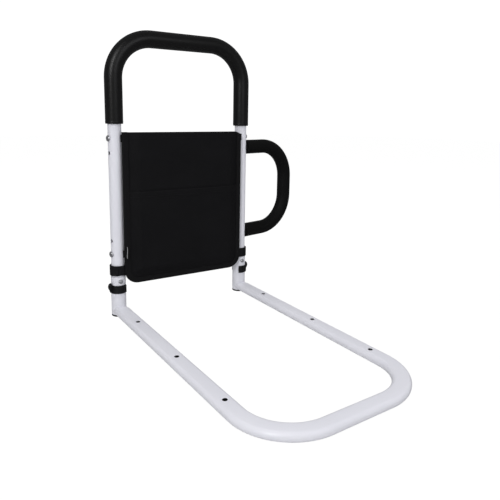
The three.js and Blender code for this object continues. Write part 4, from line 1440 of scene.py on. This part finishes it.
def strap_line(axis, side, height):
    """The strap's middle line: in from behind the pouch, round the post, a tight fold, and back
    over itself to the lap's end. side is -1 on the left post and 1 on the right, which mirrors it."""
    first = POST_RADIUS + SLIP + WEBBING / 2
    second = first + WEBBING + 0.0001
    tail = np.stack([np.linspace(STRAP_TAIL, 0.001, 20), np.full(20, -first)], -1)
    turn = np.radians(np.linspace(270, STRAP_LAP[1], 120))
    once = first * np.stack([np.cos(turn), np.sin(turn)], -1)
    fold = np.linspace(0, math.pi, 12)[1:-1]
    ahead = np.array([np.sin(turn[-1]), -np.cos(turn[-1])])
    outward = np.array([np.cos(turn[-1]), np.sin(turn[-1])])
    middle = outward * (first + second) / 2
    bend = middle - (second - first) / 2 * np.cos(fold)[:, None] * outward
    bend = bend + 0.0011 * np.sin(fold)[:, None] * ahead
    back = np.radians(np.linspace(STRAP_LAP[1], STRAP_LAP[0], 110))
    twice = second * np.stack([np.cos(back), np.sin(back)], -1)
    flat = np.concatenate([tail, once, bend, twice])
    return np.stack([
        axis.x - side * flat[:, 0], axis.y + flat[:, 1], np.full(len(flat), height),
    ], -1)


web_fabric = webbing()
for side_name, axis in SIDES.items():
    side = -1 if side_name == "left" else 1
    strip(
        side_name + "_strap", strap_line(axis, side, STRAP_MIDDLE[side_name]),
        STRAP_WIDTH, 3.5, side_name + "_pouch_strap",
    )


# ---- webbing tabs and their bolts ----
# Short webbing tabs sewn behind the pouch's edge and folded to the inner side of a post, where a
# pan-headed bolt through the post holds each with a washer and a nut.
TAB_WIDTH = 0.014
TAB_OVERHANG = 0.0025
PAN_RADIUS = 0.006
PAN_HEIGHT = 0.003
SHANK_RADIUS = 0.003
KEY_ACROSS = 0.004  # the head's hexagon recess
KEY_DEPTH = 0.0017
TAB_WASHER_RADIUS = 0.006
TAB_WASHER_HEIGHT = 0.0012
NUT_ACROSS = 0.0095
NUT_HEIGHT = 0.005


def tab_line(axis, side, height):
    """From behind the pouch's edge, out towards the post, round a small bend and back along the
    post's inner side, past the bolt. The bend is a curve of two squares and a product, from a
    third of the way before the corner to a quarter of the way after it."""
    inward = -side * np.array([math.cos(CROSS_TURN), math.sin(CROSS_TURN)])
    along = -side * np.array([inward[1], -inward[0]])
    middle = POST_RADIUS + SLIP + WEBBING / 2
    corner = inward * middle + along * (-middle - inward[1] * middle) / along[1]
    edge = np.array([-side * (HALF_SPACING - POUCH_HALF - TAB_OVERHANG), -middle])
    end = inward * middle - along * TAB_WIDTH / 2
    first = corner + (edge - corner) * 0.35
    last = corner + (end - corner) * 0.25
    share = np.linspace(0, 1, 14)[:, None]
    bend = (1 - share) ** 2 * first + 2 * share * (1 - share) * corner + share**2 * last
    flat = np.concatenate([
        edge + (first - edge) * np.linspace(0, 1, 6)[:-1, None], bend,
        last + (end - last) * np.linspace(0, 1, 12)[1:, None],
    ])
    return np.stack([axis.x + flat[:, 0], axis.y + flat[:, 1], np.full(len(flat), height)], -1)


for name, height in TAB_BOLTS.items():
    side_name = name.split("_")[0]
    side = -1 if side_name == "left" else 1
    axis = SIDES[side_name]
    tab = strip(
        name + "_tab", tab_line(axis, side, height), TAB_WIDTH, 2.5, name + "_pouch_tab", 0.0006,
    )
    combined(tab, rods([across(axis, height)], TAB_BOLT_HOLE_RADIUS), "DIFFERENCE")

    bolt_line = level_path(axis, arm_way * -side, height)
    post_face = AXIS_AT - (POST_RADIUS + SLIP)
    tab_face = AXIS_AT + POST_RADIUS + 2 * SLIP + WEBBING
    nut_face = tab_face + TAB_WASHER_HEIGHT + SLIP
    nut_end = nut_face + NUT_HEIGHT
    crown_turn = np.linspace(math.radians(25), math.radians(82), 8)
    crown = np.stack([
        post_face - PAN_HEIGHT * np.sin(crown_turn),
        PAN_RADIUS * (0.28 + 0.72 * np.cos(crown_turn) ** 0.55),
    ], -1)
    head_top = post_face - PAN_HEIGHT
    profile = np.concatenate([
        [(head_top + KEY_DEPTH, 0.0), (head_top + KEY_DEPTH, KEY_ACROSS)],
        [(head_top + 0.00015, KEY_ACROSS), (head_top, 0.00262)],
        crown[::-1],
        [(post_face - 0.0004, PAN_RADIUS), (post_face, PAN_RADIUS - 0.0002)],
        [(post_face, SHANK_RADIUS), (nut_end + 0.0015, SHANK_RADIUS)],
        [(nut_end + 0.002, SHANK_RADIUS - 0.0005), (nut_end + 0.002, 0.0)],
    ])
    flats = np.where(np.arange(len(profile)) < 3, KEY_ACROSS, 1.0)  # only the recess is hexagonal
    bolt = grid_object(
        name + "_bolt", hexagon(bolt_line, profile, flats[:, None]), zinc_steel,
    )
    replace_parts(bolt, name + "_tab_bolt")
    washer = grid_object(name + "_washer", turned(bolt_line, tube_wall(
        tab_face, tab_face + TAB_WASHER_HEIGHT, TAB_WASHER_RADIUS, TAB_BOLT_HOLE_RADIUS,
        step=0.0004, lip=0.0002,
    ), 64), zinc_steel, close_rows=True)
    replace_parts(washer, name + "_tab_washer")
    corner = NUT_ACROSS / math.sqrt(3)
    bore = SHANK_RADIUS + 0.0001
    nut = grid_object(name + "_nut", hexagon(bolt_line, [
        (nut_face, bore), (nut_face, corner - 0.0004), (nut_face + CHAMFER, corner),
        (nut_end - CHAMFER, corner), (nut_end, corner - 0.0006),
        (nut_end, bore + 0.0003), (nut_end - 0.0003, bore),
        (nut_face + 0.0003, bore),
    ], NUT_ACROSS), zinc_steel, close_rows=True)
    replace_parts(nut, name + "_tab_nut")


# ---- tag ----
# A small blank label of satin-woven ribbon, folded in half and caught in the pouch's left seam.
TAG_HEIGHT = 0.022
TAG_LENGTH = 0.0060
TAG_MIDDLE = 0.126


def ribbon():
    """Pale grey satin ribbon: fine cross threads and a soft gloss."""
    satin = Finish("grey_satin_ribbon")
    threads = weave(satin, 0.0004)
    soil = satin.noise(0.006, 3.0)
    return satin.surface(
        Base_Color=satin.mix(threads * 0.4 + soil * 0.6, grey(0.26), grey(0.38, 1.02)),
        Roughness=threads * 0.1 + 0.42,
        Normal=satin.relief(threads, 0.00006),
        Specular_IOR_Level=0.3,
    )


tag_out = np.linspace(0, 1, 16)[None, :]
tag_up = np.linspace(-0.5, 0.5, 28)[:, None]
tag_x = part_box("pouch_tag")[0].x - 0.0016 - 0.0012 * tag_out**2 + 0.0004 * np.sin(tag_up * 5)
tag_y = STACK_FRONT - TAPE - 0.0004 - TAG_LENGTH * tag_out + 0 * tag_up
tag_z = TAG_MIDDLE + TAG_HEIGHT * tag_up * (1 - 0.04 * tag_out)
tag = grid_object(
    "blank_tag", np.stack([tag_x + 0 * tag_z, tag_y, tag_z], -1), ribbon(),
    close_columns=False, uv=np.stack([tag_y, tag_z], -1),
)
tag_wall = tag.modifiers.new("ribbon", "SOLIDIFY")
tag_wall.thickness = 0.0006
tag_wall.offset = 0
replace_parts(tag, "pouch_tag")
